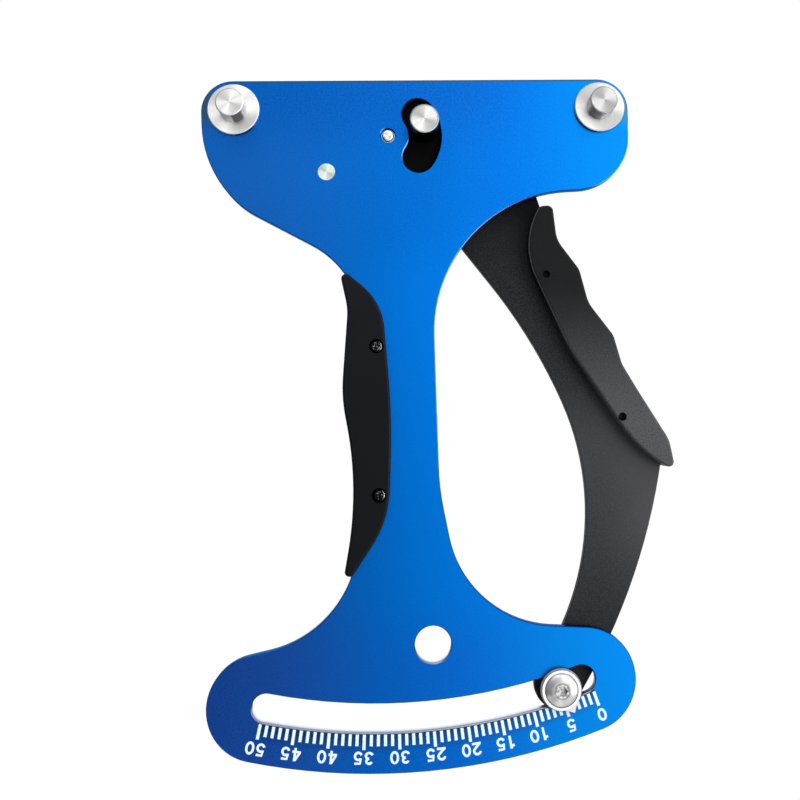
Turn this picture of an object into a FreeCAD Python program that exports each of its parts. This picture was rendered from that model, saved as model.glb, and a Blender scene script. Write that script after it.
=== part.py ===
import FreeCAD, Part
import math
import os

# Spoke tension meter, in millimetres. X runs along the line through the two fixed posts, +Z points
# up the handle to the head, and the printed face looks along -Y. Every sub-part is drawn with the
# pivot at X = Z = 0 and the plate's front face at Y = 0, then moved so that the middle of the
# handle, where the hand holds it, is the origin.

# where the hand holds the handle, seen from the pivot
GRIP_X = 2.3
GRIP_Z = -94.0

# ---- sheets, along Y ----
PLATE_T = 3.0
ARM_T = 3.0
ARM_GAP = 0.5                      # between the plate's back and the arm's front
ARM_FRONT = PLATE_T + ARM_GAP
ARM_BACK = ARM_FRONT + ARM_T
EDGE_BREAK = 0.25                  # chamfer on the cut edges of both sheets
RUN_GAP = 0.05                     # running clearance at the pivot
THREAD_GAP = 0.02                  # between a screw's thread and its hole

# ---- dial, about the pivot; angles are counted from straight down, positive to the right ----
DIAL_R = 202.6                     # lower edge of the plate
DIAL_END_R = 16.1                  # round ends of the dial
DIAL_LEFT_END = -13.5
DIAL_RIGHT_END = 18.35
SLOT_INSET = 16.6                  # from the lower edge to the middle of the pointer's slot
SLOT_R = DIAL_R - SLOT_INSET
SLOT_HALF = 4.4
SLOT_LEFT_END = -12.85
SLOT_RIGHT_END = 18.0
HANG_X = 10.8
HANG_RISE = 38.3                   # of the hang hole above the lower edge
HANG_Z = HANG_RISE - DIAL_R
HANG_R = 5.75

# ---- plate outline: corners seen from the pivot, with the radius of each ----
HEAD_TOP = 18.85
HEAD_LEFT = -61.3
HEAD_RIGHT = 80.9
HEAD_CORNER_R = 10.3
HEAD_LEFT_SLANT = 0.9              # the head's ends slant inwards by this much
HEAD_RIGHT_SLANT = 0.4
HEAD_RIGHT_LOW_Z = -18.4
HEAD_RIGHT_LOW_R = 18.5
HEAD_LEFT_LOW_Z = -10.5
HEAD_LEFT_LOW_R = 37.5
HEAD_UNDER_INSET = 14.0            # third corner of the head's left end
HEAD_UNDER_Z = -24.3
HEAD_UNDER_R = 26.0
HANDLE_LEFT = -9.5
HANDLE_LEFT_FOOT = -13.2
HANDLE_RIGHT = 13.4
HANDLE_RIGHT_BEND = (14.1, -116.0, 77.5)
HANDLE_RIGHT_FOOT = 21.7
NECK_RIGHT_Z = -21.2
NECK_RIGHT_R = 47.5
NECK_LEFT_Z = -45.2
NECK_LEFT_R = 30.0
FLARE_RIGHT_RISE = 44.6            # of the flares' corners above the dial's lower edge
FLARE_LEFT_RISE = 43.5
FLARE_RIGHT_Z = FLARE_RIGHT_RISE - DIAL_R
FLARE_LEFT_Z = FLARE_LEFT_RISE - DIAL_R
FLARE_RIGHT_R = 35.1
FLARE_LEFT_R = 34.5

# ---- kidney slot for the moving post, about the pivot; angles are counted from +X ----
KIDNEY_R = 12.3
KIDNEY_HALF = 5.35
KIDNEY_LOW = -36.0
KIDNEY_HIGH = 35.3

# ---- posts that the spoke lies against ----
POST_Z = 8.9
LEFT_POST_X = -50.3
RIGHT_POST_X = 71.0
POST_R = 4.5
POST_H = 8.3                       # above the plate's front face
POST_CHAMFER = 0.3
FLANGE_R = 8.4
FLANGE_T = 1.3
SPIGOT_R = 3.0
SPIGOT_SHORT = 0.1                 # the spigot ends inside its sheet, so that the screw clamps
MOVING_POST_ANGLE = 14.0
MOVING_POST_R = 4.7

# ---- small screws behind the posts ----
POST_SCREW_R = 1.5
POST_SCREW_L = 7.0
POST_HOLE_BEYOND = 0.6             # the tapped hole goes this much deeper than the screw
POST_SCREW_HEAD_R = 2.8
POST_SCREW_HEAD_H = 1.9
POST_WASHER_R = 3.9
WASHER_T = 0.6
WASHER_GAP = 0.1                   # between a washer and the screw through it

# ---- pivot ----
PIVOT_R = 2.0
PIVOT_DOME = 0.2                   # stands proud of the plate's face
PIVOT_DOME_R = 0.9
PIVOT_RECESS_R = 2.5
PIVOT_RECESS_DEPTH = 1.0
BUSHING_WALL = 1.4
PIVOT_WASHER_R = 6.0
PIVOT_WASHER_T = ARM_GAP - RUN_GAP
CLIP_R = 3.9
CLIP_T = 0.7
CLIP_GROOVE = 0.4                  # depth of the clip's groove in the pin
CLIP_MOUTH = 2.4
PIVOT_TAIL = 1.0                   # pin beyond the clip

# ---- return spring ----
ANCHOR_X = -20.4
ANCHOR_Z = -12.1
ANCHOR_HEAD_R = 2.8
ANCHOR_HEAD_H = 1.4
HOOK_X = -11.5
HOOK_Z = 9.4
HOOK_PIN_R = 1.7
PIN_COLLAR_R = 2.3
PIN_COLLAR_H = 0.9
PIN_CAP_R = 2.3
PIN_CAP_H = 0.8
COIL_R = 2.4                       # outside radius of the coil
WIRE_R = 0.4
COIL_LIFT = 0.4                    # between the arm's back and the coil
SPRING_Y = ARM_BACK + COIL_LIFT + COIL_R
LOOP_R = 2.3                       # centre line of the end loops
LOOP_GAP = 0.06                    # between a loop and its pin
COIL_STANDOFF = 0.25               # from a loop's centre line to the coil's end

# ---- arm outline, seen from the pivot ----
ARM_END_R = 7.7                    # round end about the pointer's screw
ARM_INNER_FOOT = (74.0, -134.6, 136.0)
ARM_INNER_BEND = (46.8, -68.1, 276.0)
ARM_INNER_TOP = (18.0, -30.0, 20.0)
ARM_PIVOT_LEFT = (-9.5, -9.5, 8.0)
ARM_TAIL_LOW = (-15.8, 3.0, 4.0)
ARM_TAIL_HIGH = (-15.2, 13.4, 3.8)
ARM_HEAD_TOP = (20.0, 15.0, 11.0)
ARM_SHOULDER = (46.0, -9.5, 7.0)
ARM_OUTER_TOP = (50.6, -25.0, 12.0)
ARM_OUTER_HIGH = (55.0, -50.0, 30.0)
ARM_OUTER_MID = (70.5, -80.0, 40.0)
ARM_OUTER_TIP = (87.8, -107.0, 4.0)
ARM_OUTER_FOOT = (80.2, -147.5, 240.0)

# ---- grips: two halves clamp each sheet ----
GRIP_T = 4.5                       # each half stands this far off its sheet
GRIP_FIT = 0.15                    # between a grip and the edge of its sheet
GRIP_EDGE_R = 0.8
GRIP_HOLE_GAP = 0.15               # between a grip screw and its hole in a sheet
PALM_TOP = (-16.8, -44.0, 1.6)
PALM_OUTER_SIDE = ((-14.0, -58.0, 20.0), (-16.4, -86.0, 50.0), (-11.4, -115.0, 110.0))
PALM_FOOT = ((-16.5, -141.8, 1.4), (-13.9, -141.9, 1.1))
PALM_INNER_SIDE = ((-2.1, -124.9, 33.4), (-0.6, -91.6, 243.0), (-3.0, -56.0, 20.0))
PALM_SCREW_X = -5.1
PALM_SCREWS_Z = (-70.2, -117.2)
PALM_SCREW_R = 1.4
PALM_SCREW_HEAD_R = 2.1
PALM_SCREW_HEAD_H = 1.4
PALM_RECESS_R = 2.35
PALM_RECESS_DEPTH = 2.0
PALM_SCREW_END = 1.5               # plastic left behind the screw's end
FINGER_INNER_SIDE = ((49.4, -24.6, 2.6), (42.6, -37.5, 25.2), (57.3, -71.6, 57.6), (78.8, -105.1, 44.1))
FINGER_FOOT = ((91.0, -113.0, 1.6), (89.2, -102.5, 10.1))
FINGER_LOW_HOLLOW = ((79.7, -86.3, 10.0), (74.8, -77.5, 8.0), (72.4, -68.0, 6.0))
FINGER_HIGH_HOLLOW = ((64.6, -57.2, 10.0), (62.0, -46.0, 6.0), (54.9, -36.0, 10.0))
FINGER_TOP = (53.9, -24.3, 2.0)
FINGER_SCREWS = ((50.9, -47.5), (74.1, -94.7))
FINGER_SCREW_R = 1.2
FINGER_SCREW_HEAD_R = 2.2
FINGER_SCREW_HEAD_H = 1.5
FINGER_RECESS_R = 2.5
FINGER_RECESS_DEPTH = 2.0
FINGER_TIP_DEPTH = 1.3             # the screw's tip lies this deep in the front hole

# ---- pointer ----
POINTER_ANGLE = 15.75
POINTER_OUTWARD = 0.4              # its screw lies this far beyond the middle of the slot
POINTER_R = 6.5
POINTER_T = 1.7
POINTER_GAP = 0.5                  # above the plate's front face
POINTER_RIM_R = 6.1                # the side slopes in to this at the front
POINTER_SLOPE_H = 0.8
POINTER_RECESS_R = 5.3
POINTER_RECESS_DEPTH = 0.9
BEAK_REACH = 8.2
BEAK_TURN = 29.5                   # from straight down, towards +X
BEAK_T = 1.0
BEAK_TIP_R = 0.3
BEAK_FLANK_AT = 6.9                # the flanks turn towards the tip here
BEAK_FLANK_HALF = 1.2
BEAK_FLANK_R = 4.0
BUSH_R = 3.0
POINTER_SCREW_R = 2.0
POINTER_HEAD_R = 5.2
POINTER_HEAD_EDGE = 0.8            # straight side below the dome
POINTER_HEAD_TOP_R = 2.4
POINTER_HEAD_H = 2.1
SOCKET_FLATS = 3.0
SOCKET_DEPTH = 1.3
POINTER_WASHER_R = 4.3
NUT_FLATS = 7.0
NUT_H = 2.6
SCREW_TAIL = 0.8                   # thread beyond the nut


def polar(radius, degrees):
    """X and Z of a point about the pivot, its angle counted from +X."""
    turn = math.radians(degrees)
    return radius * math.cos(turn), radius * math.sin(turn)


def from_down(radius, degrees):
    """X and Z of a point about the pivot, its angle counted from straight down to the right."""
    return polar(radius, degrees - 90.0)


def vector(x, z, y=0.0):
    return FreeCAD.Vector(x, y, z)


def disc(x, z, radius, front, back):
    """Round bar along Y from front to back."""
    return Part.makeCylinder(radius, back - front, vector(x, z, front), FreeCAD.Vector(0, 1, 0))


def ring(x, z, outer, inner, front, back):
    return disc(x, z, outer, front, back).cut(disc(x, z, inner, front, back))


def hexagon(x, z, flats, front, back):
    """Hexagonal bar along Y, by the distance across its flats."""
    reach = flats / math.sqrt(3.0)
    corners = [vector(x + polar(reach, 60.0 * n)[0], z + polar(reach, 60.0 * n)[1], front) for n in range(7)]
    return Part.Face(Part.makePolygon(corners)).extrude(FreeCAD.Vector(0, back - front, 0))


def extruded(edges, front, back):
    """Solid from a closed outline drawn at Y = 0."""
    face = Part.Face(Part.Wire(Part.__sortEdges__(edges)))
    face.translate(FreeCAD.Vector(0, front, 0))
    return face.extrude(FreeCAD.Vector(0, back - front, 0))


def arc(start, middle, end):
    return Part.Arc(vector(*start), vector(*middle), vector(*end)).toShape()


def edges_at(solid, depth):
    """Edges that lie wholly in the plane Y = depth."""
    near = 1e-4
    boxes = [(edge, edge.BoundBox) for edge in solid.Edges]
    return [edge for edge, box in boxes if abs(box.YMin - depth) < near and abs(box.YMax - depth) < near]


def rounded_path(corners):
    """Lines and tangent arcs along corners of (x, z, radius). The two ends have no radius."""
    points = [vector(x, z) for x, z, _ in corners]
    reach = [0.0]
    for before, here, after, corner in zip(points, points[1:], points[2:], corners[1:]):
        half = (before - here).getAngle(after - here) / 2.0
        reach.append(corner[2] / math.tan(half))
    reach.append(0.0)
    sides = [(b - a).Length for a, b in zip(points, points[1:])]
    room = [min(1.0, side / max(reach[n] + reach[n + 1], 1e-9)) for n, side in enumerate(sides)]
    edges = []
    cursor = points[0]
    for n in range(1, len(points) - 1):
        to_before = (points[n - 1] - points[n]).normalize()
        to_after = (points[n + 1] - points[n]).normalize()
        length = reach[n] * min(room[n - 1], room[n])
        half = to_before.getAngle(to_after) / 2.0
        centre = points[n] + (to_before + to_after).normalize() * (length / math.cos(half))
        start = points[n] + to_before * length
        end = points[n] + to_after * length
        middle = centre + (points[n] - centre).normalize() * (length * math.tan(half))
        if (start - cursor).Length > 1e-6:
            edges.append(Part.LineSegment(cursor, start).toShape())
        edges.append(Part.Arc(start, middle, end).toShape())
        cursor = end
    if (points[-1] - cursor).Length > 1e-6:
        edges.append(Part.LineSegment(cursor, points[-1]).toShape())
    return edges


def rounded_loop(corners):
    """Closed outline with every corner rounded; it starts halfway along its last side."""
    last, first = corners[-1], corners[0]
    seam = ((last[0] + first[0]) / 2.0, (last[1] + first[1]) / 2.0, 0.0)
    return rounded_path([seam] + list(corners) + [seam])


def tangent_point(corner, centre, radius, side):
    """Where the line from a corner touches a circle; side is +1 or -1."""
    away_x = corner[0] - centre[0]
    away_z = corner[1] - centre[1]
    swing = math.acos(radius / math.hypot(away_x, away_z))
    turn = math.atan2(away_z, away_x) + side * swing
    return centre[0] + radius * math.cos(turn), centre[1] + radius * math.sin(turn)


def round_end(centre, radius, start, end, degrees):
    """Arc about centre from start to end, by way of the direction given in degrees from +X."""
    reach_x, reach_z = polar(radius, degrees)
    return arc(start, (centre[0] + reach_x, centre[1] + reach_z), end)


def arc_slot(radius, half, low, high, front, back):
    """Slot of even width along an arc about the pivot, with round ends."""
    outer, inner = radius + half, radius - half
    middle = (low + high) / 2.0
    edges = [
        arc(polar(outer, low), polar(outer, middle), polar(outer, high)),
        arc(polar(inner, low), polar(inner, middle), polar(inner, high)),
        round_end(polar(radius, high), half, polar(outer, high), polar(inner, high), high + 90.0),
        round_end(polar(radius, low), half, polar(outer, low), polar(inner, low), low - 90.0),
    ]
    return extruded(edges, front, back)


def plate_outline():
    """Head, handle and flares as rounded corners, closed by the dial's two round ends and its arc."""
    left_end = from_down(DIAL_R - DIAL_END_R, DIAL_LEFT_END)
    right_end = from_down(DIAL_R - DIAL_END_R, DIAL_RIGHT_END)
    right_flare = (HANDLE_RIGHT_FOOT, FLARE_RIGHT_Z, FLARE_RIGHT_R)
    left_flare = (HANDLE_LEFT_FOOT, FLARE_LEFT_Z, FLARE_LEFT_R)
    right_touch = tangent_point(right_flare, right_end, DIAL_END_R, -1)
    left_touch = tangent_point(left_flare, left_end, DIAL_END_R, 1)
    path = [
        right_touch + (0.0,),
        right_flare,
        HANDLE_RIGHT_BEND,
        (HANDLE_RIGHT, NECK_RIGHT_Z, NECK_RIGHT_R),
        (HEAD_RIGHT - HEAD_RIGHT_SLANT, HEAD_RIGHT_LOW_Z, HEAD_RIGHT_LOW_R),
        (HEAD_RIGHT, HEAD_TOP, HEAD_CORNER_R),
        (HEAD_LEFT, HEAD_TOP, HEAD_CORNER_R),
        (HEAD_LEFT + HEAD_LEFT_SLANT, HEAD_LEFT_LOW_Z, HEAD_LEFT_LOW_R),
        (HEAD_LEFT + HEAD_UNDER_INSET, HEAD_UNDER_Z, HEAD_UNDER_R),
        (HANDLE_LEFT, NECK_LEFT_Z, NECK_LEFT_R),
        left_flare,
        left_touch + (0.0,),
    ]
    left_foot = from_down(DIAL_R, DIAL_LEFT_END)
    right_foot = from_down(DIAL_R, DIAL_RIGHT_END)
    bottom = from_down(DIAL_R, (DIAL_LEFT_END + DIAL_RIGHT_END) / 2.0)
    return rounded_path(path) + [
        round_end(left_end, DIAL_END_R, left_touch, left_foot, 180.0),
        arc(left_foot, bottom, right_foot),
        round_end(right_end, DIAL_END_R, right_touch, right_foot, 0.0),
    ]


def arm_outline():
    """Arm from its tail and pivot down to the round end at the pointer."""
    end = from_down(SLOT_R, POINTER_ANGLE)
    outer_touch = tangent_point(ARM_OUTER_FOOT, end, ARM_END_R, -1)
    inner_touch = tangent_point(ARM_INNER_FOOT, end, ARM_END_R, 1)
    path = [
        outer_touch + (0.0,),
        ARM_OUTER_FOOT,
        ARM_OUTER_TIP,
        ARM_OUTER_MID,
        ARM_OUTER_HIGH,
        ARM_OUTER_TOP,
        ARM_SHOULDER,
        ARM_HEAD_TOP,
        ARM_TAIL_HIGH,
        ARM_TAIL_LOW,
        ARM_PIVOT_LEFT,
        ARM_INNER_TOP,
        ARM_INNER_BEND,
        ARM_INNER_FOOT,
        inner_touch + (0.0,),
    ]
    return rounded_path(path) + [round_end(end, ARM_END_R, outer_touch, inner_touch, POINTER_ANGLE - 90.0)]


def palm_outline():
    """Palm grip: pointed at both ends, gently full on both of its sides."""
    return rounded_loop([PALM_TOP, *PALM_OUTER_SIDE, *PALM_FOOT, *PALM_INNER_SIDE])


def finger_outline():
    """Finger grip: follows the arm on the inside and has a shallow hollow for each finger outside."""
    return rounded_loop([
        *FINGER_INNER_SIDE,
        *FINGER_FOOT,
        *FINGER_LOW_HOLLOW,
        *FINGER_HIGH_HOLLOW,
        FINGER_TOP,
    ])


def with_broken_edges(solid, front, back):
    return solid.makeChamfer(EDGE_BREAK, edges_at(solid, front) + edges_at(solid, back))


def body_plate():
    """Blue front plate: head, handle and dial in one sheet."""
    plate = extruded(plate_outline(), 0.0, PLATE_T)
    plate = plate.cut(arc_slot(SLOT_R, SLOT_HALF, SLOT_LEFT_END - 90.0, SLOT_RIGHT_END - 90.0, 0.0, PLATE_T))
    plate = plate.cut(arc_slot(KIDNEY_R, KIDNEY_HALF, KIDNEY_LOW, KIDNEY_HIGH, 0.0, PLATE_T))
    plate = plate.cut(disc(HANG_X, HANG_Z, HANG_R, 0.0, PLATE_T))
    plate = with_broken_edges(plate, 0.0, PLATE_T)
    plate = plate.cut(disc(0, 0, PIVOT_R, 0.0, PLATE_T))
    plate = plate.cut(disc(0, 0, PIVOT_RECESS_R, 0.0, PIVOT_RECESS_DEPTH))
    for x in (LEFT_POST_X, RIGHT_POST_X):
        plate = plate.cut(disc(x, POST_Z, SPIGOT_R, 0.0, PLATE_T))
    plate = plate.cut(disc(ANCHOR_X, ANCHOR_Z, ANCHOR_HEAD_R, 0.0, ANCHOR_HEAD_H))
    plate = plate.cut(disc(ANCHOR_X, ANCHOR_Z, HOOK_PIN_R, 0.0, PLATE_T))
    for z in PALM_SCREWS_Z:
        plate = plate.cut(disc(PALM_SCREW_X, z, PALM_SCREW_R + GRIP_HOLE_GAP, 0.0, PLATE_T))
    return plate


def arm_plate():
    """Black arm that carries the moving post, the finger grip and the pointer."""
    arm = with_broken_edges(extruded(arm_outline(), ARM_FRONT, ARM_BACK), ARM_FRONT, ARM_BACK)
    holes = [
        (0.0, 0.0, PIVOT_R + BUSHING_WALL),
        polar(KIDNEY_R, MOVING_POST_ANGLE) + (SPIGOT_R,),
        (HOOK_X, HOOK_Z, HOOK_PIN_R),
        pointer_centre() + (POINTER_SCREW_R + THREAD_GAP,),
    ]
    holes += [(x, z, FINGER_SCREW_R + GRIP_HOLE_GAP) for x, z in FINGER_SCREWS]
    for x, z, radius in holes:
        arm = arm.cut(disc(x, z, radius, ARM_FRONT, ARM_BACK))
    return arm


def post(x, z, radius, seat, sheet_back, flange):
    """Turned post on a sheet: barrel, spigot into the sheet and tapped hole from behind."""
    barrel = disc(x, z, radius, -POST_H, seat)
    barrel = barrel.makeChamfer(POST_CHAMFER, edges_at(barrel, -POST_H))
    spigot_end = sheet_back - SPIGOT_SHORT
    body = barrel.fuse(disc(x, z, SPIGOT_R, seat, spigot_end))
    if flange:
        rim = disc(x, z, FLANGE_R, seat - FLANGE_T, seat)
        body = body.fuse(rim.makeChamfer(EDGE_BREAK, edges_at(rim, seat - FLANGE_T)))
    hole_end = sheet_back + WASHER_T - POST_SCREW_L - POST_HOLE_BEYOND
    return body.removeSplitter().cut(disc(x, z, POST_SCREW_R + THREAD_GAP, hole_end, spigot_end))


def post_washer(x, z, sheet_back):
    return ring(x, z, POST_WASHER_R, POST_SCREW_R + WASHER_GAP, sheet_back, sheet_back + WASHER_T)


def post_screw(x, z, sheet_back):
    """Button-head screw from behind, with a hexagon socket."""
    under_head = sheet_back + WASHER_T
    top = under_head + POST_SCREW_HEAD_H
    head = disc(x, z, POST_SCREW_HEAD_R, under_head, top)
    head = head.makeFillet(POST_SCREW_HEAD_H * 0.6, edges_at(head, top))
    shank = disc(x, z, POST_SCREW_R, under_head - POST_SCREW_L, under_head)
    socket = hexagon(x, z, POST_SCREW_R * 1.3, top - POST_SCREW_HEAD_H * 0.6, top)
    return head.fuse(shank).cut(socket)


def pivot_clip_front():
    return ARM_BACK + RUN_GAP + PIVOT_WASHER_T


def pivot_pin():
    """Pin pressed into the plate, domed in front and grooved behind for its clip."""
    clip_front = pivot_clip_front()
    end = clip_front + CLIP_T + PIVOT_TAIL
    pin = disc(0, 0, PIVOT_R, -PIVOT_DOME, end)
    pin = pin.makeFillet(PIVOT_DOME_R, edges_at(pin, -PIVOT_DOME))
    pin = pin.makeChamfer(EDGE_BREAK, edges_at(pin, end))
    return pin.cut(ring(0, 0, PIVOT_R, PIVOT_R - CLIP_GROOVE, clip_front, clip_front + CLIP_T))


def pivot_bushing():
    return ring(0, 0, PIVOT_R + BUSHING_WALL, PIVOT_R + RUN_GAP, ARM_FRONT, ARM_BACK)


def pivot_washer(front):
    return ring(0, 0, PIVOT_WASHER_R, PIVOT_R, front, front + PIVOT_WASHER_T)


def pivot_clip():
    """Snap clip in the pin's groove, open on one side."""
    front = pivot_clip_front()
    clip = ring(0, 0, CLIP_R, PIVOT_R - CLIP_GROOVE, front, front + CLIP_T)
    mouth = Part.makeBox(CLIP_MOUTH, CLIP_T, CLIP_R, vector(-CLIP_MOUTH / 2.0, -CLIP_R, front))
    return clip.cut(mouth)


def pin_end():
    """Back end of the two spring pins, just beyond the loops."""
    return SPRING_Y + WIRE_R + LOOP_GAP + PIN_CAP_H


def spring_pin(x, z, start, sheet_back):
    """Pin with a collar against its sheet and a cap that keeps the spring's loop on."""
    end = pin_end()
    pin = disc(x, z, HOOK_PIN_R, start, end)
    pin = pin.fuse(disc(x, z, PIN_COLLAR_R, sheet_back, sheet_back + PIN_COLLAR_H))
    return pin.fuse(disc(x, z, PIN_CAP_R, end - PIN_CAP_H, end))


def spring_anchor():
    """Rivet that holds the spring to the plate, flush in front."""
    head = disc(ANCHOR_X, ANCHOR_Z, ANCHOR_HEAD_R, 0.0, ANCHOR_HEAD_H)
    return head.fuse(spring_pin(ANCHOR_X, ANCHOR_Z, 0.0, PLATE_T)).removeSplitter()


def spring_hook_pin():
    return spring_pin(HOOK_X, HOOK_Z, ARM_FRONT, ARM_BACK).removeSplitter()


def extension_spring():
    """Closely wound coil between the two pins, as its outer form, with a loop round each pin."""
    anchor = vector(ANCHOR_X, ANCHOR_Z, SPRING_Y)
    hook = vector(HOOK_X, HOOK_Z, SPRING_Y)
    along = (hook - anchor).normalize()
    loop_offset = LOOP_R - WIRE_R - HOOK_PIN_R - LOOP_GAP
    low_loop = anchor + along * loop_offset
    high_loop = hook - along * loop_offset
    coil_start = low_loop + along * (LOOP_R + COIL_STANDOFF)
    coil_length = (high_loop - coil_start).Length - LOOP_R - COIL_STANDOFF
    turns = int(coil_length / (2.0 * WIRE_R))
    pitch = coil_length / turns
    side = FreeCAD.Vector(0, 1, 0)
    profile = [Part.LineSegment(coil_start, coil_start + side * (COIL_R - WIRE_R)).toShape()]
    for n in range(turns):
        start = coil_start + along * (pitch * n) + side * (COIL_R - WIRE_R)
        crest = start + along * (pitch / 2.0) + side * WIRE_R
        profile.append(Part.Arc(start, crest, start + along * pitch).toShape())
    finish = coil_start + along * coil_length
    profile.append(Part.LineSegment(finish + side * (COIL_R - WIRE_R), finish).toShape())
    profile.append(Part.LineSegment(finish, coil_start).toShape())
    coil = Part.Face(Part.Wire(profile)).revolve(coil_start, along, 360.0)
    loops = [Part.makeTorus(LOOP_R, WIRE_R, centre, side) for centre in (low_loop, high_loop)]
    return coil.fuse(loops)


def grip_front(outline, sheet_outline, sheet_front, parting):
    """Front half of a grip, rebated for its sheet down to the parting plane."""
    face = sheet_front - GRIP_T
    half = extruded(outline, face, parting)
    half = half.makeFillet(GRIP_EDGE_R, edges_at(half, face))
    return half.cut(sheet_pocket(sheet_outline, sheet_front, parting))


def grip_rear(outline, sheet_outline, sheet_back, parting):
    """Rear half of a grip, the front half's mirror image about the sheet."""
    face = sheet_back + GRIP_T
    half = extruded(outline, parting, face)
    half = half.makeFillet(GRIP_EDGE_R, edges_at(half, face))
    return half.cut(sheet_pocket(sheet_outline, parting, sheet_back))


def sheet_pocket(outline, front, back):
    """Room for a sheet in a grip, wider than the sheet by the fit."""
    face = Part.Face(Part.Wire(Part.__sortEdges__(outline))).makeOffset2D(GRIP_FIT)
    face.translate(FreeCAD.Vector(0, front, 0))
    return face.extrude(FreeCAD.Vector(0, back - front, 0))


def palm_halves():
    """Both halves of the palm grip, drilled for the screws from the front."""
    parting = PLATE_T / 2.0
    face = -GRIP_T
    front = grip_front(palm_outline(), plate_outline(), 0.0, parting)
    rear = grip_rear(palm_outline(), plate_outline(), PLATE_T, parting)
    for z in PALM_SCREWS_Z:
        front = front.cut(disc(PALM_SCREW_X, z, PALM_SCREW_R + GRIP_HOLE_GAP, face, parting))
        front = front.cut(disc(PALM_SCREW_X, z, PALM_RECESS_R, face, face + PALM_RECESS_DEPTH))
        rear = rear.cut(disc(PALM_SCREW_X, z, PALM_SCREW_R + THREAD_GAP, parting, palm_screw_tip()))
    return front, rear


def palm_screw_tip():
    return PLATE_T + GRIP_T - PALM_SCREW_END


def palm_screws():
    """The two screws that draw the palm grip's halves together."""
    under_head = PALM_RECESS_DEPTH - GRIP_T
    return [grip_screw(PALM_SCREW_X, z, PALM_SCREW_R, PALM_SCREW_HEAD_R, under_head - PALM_SCREW_HEAD_H,
                       under_head, palm_screw_tip()) for z in PALM_SCREWS_Z]


def grip_screw(x, z, radius, head_radius, head_top, under_head, tip):
    """Button-head screw along Y; its head may face either way."""
    low, high = sorted((head_top, under_head))
    head = disc(x, z, head_radius, low, high)
    rounding = (high - low) * 0.55
    head = head.makeFillet(rounding, edges_at(head, head_top))
    shank = disc(x, z, radius, *sorted((under_head, tip)))
    inward = math.copysign(rounding, under_head - head_top)
    socket = hexagon(x, z, radius * 1.4, *sorted((head_top, head_top + inward)))
    return head.fuse(shank).cut(socket)


def finger_halves():
    """Both halves of the finger grip, drilled for the screws from behind."""
    parting = ARM_FRONT + ARM_T / 2.0
    face = ARM_FRONT - GRIP_T
    back = ARM_BACK + GRIP_T
    front = grip_front(finger_outline(), arm_outline(), ARM_FRONT, parting)
    rear = grip_rear(finger_outline(), arm_outline(), ARM_BACK, parting)
    for x, z in FINGER_SCREWS:
        front = front.cut(disc(x, z, FINGER_SCREW_R + THREAD_GAP, face, parting))
        rear = rear.cut(disc(x, z, FINGER_SCREW_R + GRIP_HOLE_GAP, parting, back))
        rear = rear.cut(disc(x, z, FINGER_RECESS_R, back - FINGER_RECESS_DEPTH, back))
    return front, rear


def finger_screws():
    """The two screws that draw the finger grip's halves together."""
    under_head = ARM_BACK + GRIP_T - FINGER_RECESS_DEPTH
    tip = ARM_FRONT - GRIP_T + FINGER_TIP_DEPTH
    return [grip_screw(x, z, FINGER_SCREW_R, FINGER_SCREW_HEAD_R, under_head + FINGER_SCREW_HEAD_H,
                       under_head, tip) for x, z in FINGER_SCREWS]


def pointer_centre():
    return from_down(SLOT_R + POINTER_OUTWARD, POINTER_ANGLE)


def pointer_underside():
    return -POINTER_GAP


def beak_corner(along, across, radius):
    """Corner of the beak, seen from the pointer's centre along the beak."""
    x, z = pointer_centre()
    turn = math.radians(BEAK_TURN)
    x += along * math.sin(turn) + across * math.cos(turn)
    z += across * math.sin(turn) - along * math.cos(turn)
    return x, z, radius


def pointer():
    """Round head with a rim round the screw, and a thin beak that reads against the scale."""
    x, z = pointer_centre()
    back = pointer_underside()
    front = back - POINTER_T
    shoulder = front + POINTER_SLOPE_H
    head = disc(x, z, POINTER_R, shoulder, back)
    head = head.fuse(Part.makeCone(POINTER_RIM_R, POINTER_R, POINTER_SLOPE_H, vector(x, z, front),
                                   FreeCAD.Vector(0, 1, 0)))
    beak = extruded(rounded_loop([beak_corner(*corner) for corner in (
        (POINTER_R * 0.68, -POINTER_R * 0.7, BEAK_TIP_R),
        (BEAK_FLANK_AT, -BEAK_FLANK_HALF, BEAK_FLANK_R),
        (BEAK_REACH, 0.0, BEAK_TIP_R),
        (BEAK_FLANK_AT, BEAK_FLANK_HALF, BEAK_FLANK_R),
        (POINTER_R * 0.68, POINTER_R * 0.7, BEAK_TIP_R),
    )]), back - BEAK_T, back)
    body = head.fuse(beak).removeSplitter()
    body = body.cut(disc(x, z, POINTER_RECESS_R, front, front + POINTER_RECESS_DEPTH))
    return body.cut(disc(x, z, POINTER_SCREW_R + WASHER_GAP, front, back))


def pointer_bush():
    """Spacer that runs in the dial's slot between the arm and the pointer."""
    x, z = pointer_centre()
    return ring(x, z, BUSH_R, POINTER_SCREW_R + WASHER_GAP, pointer_underside(), ARM_FRONT)


def pointer_washer():
    x, z = pointer_centre()
    return ring(x, z, POINTER_WASHER_R, POINTER_SCREW_R + WASHER_GAP, ARM_BACK, ARM_BACK + WASHER_T)


def pointer_nut():
    x, z = pointer_centre()
    front = ARM_BACK + WASHER_T
    nut = hexagon(x, z, NUT_FLATS, front, front + NUT_H)
    nut = nut.common(rounded_bar(x, z, NUT_FLATS / math.sqrt(3.0), front, front + NUT_H))
    return nut.cut(disc(x, z, POINTER_SCREW_R + THREAD_GAP, front, front + NUT_H))


def rounded_bar(x, z, radius, front, back):
    """Round bar whose end edges are chamfered, which cuts the corners off a nut."""
    bar = disc(x, z, radius, front, back)
    return bar.makeChamfer(EDGE_BREAK * 2.0, edges_at(bar, front) + edges_at(bar, back))


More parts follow.
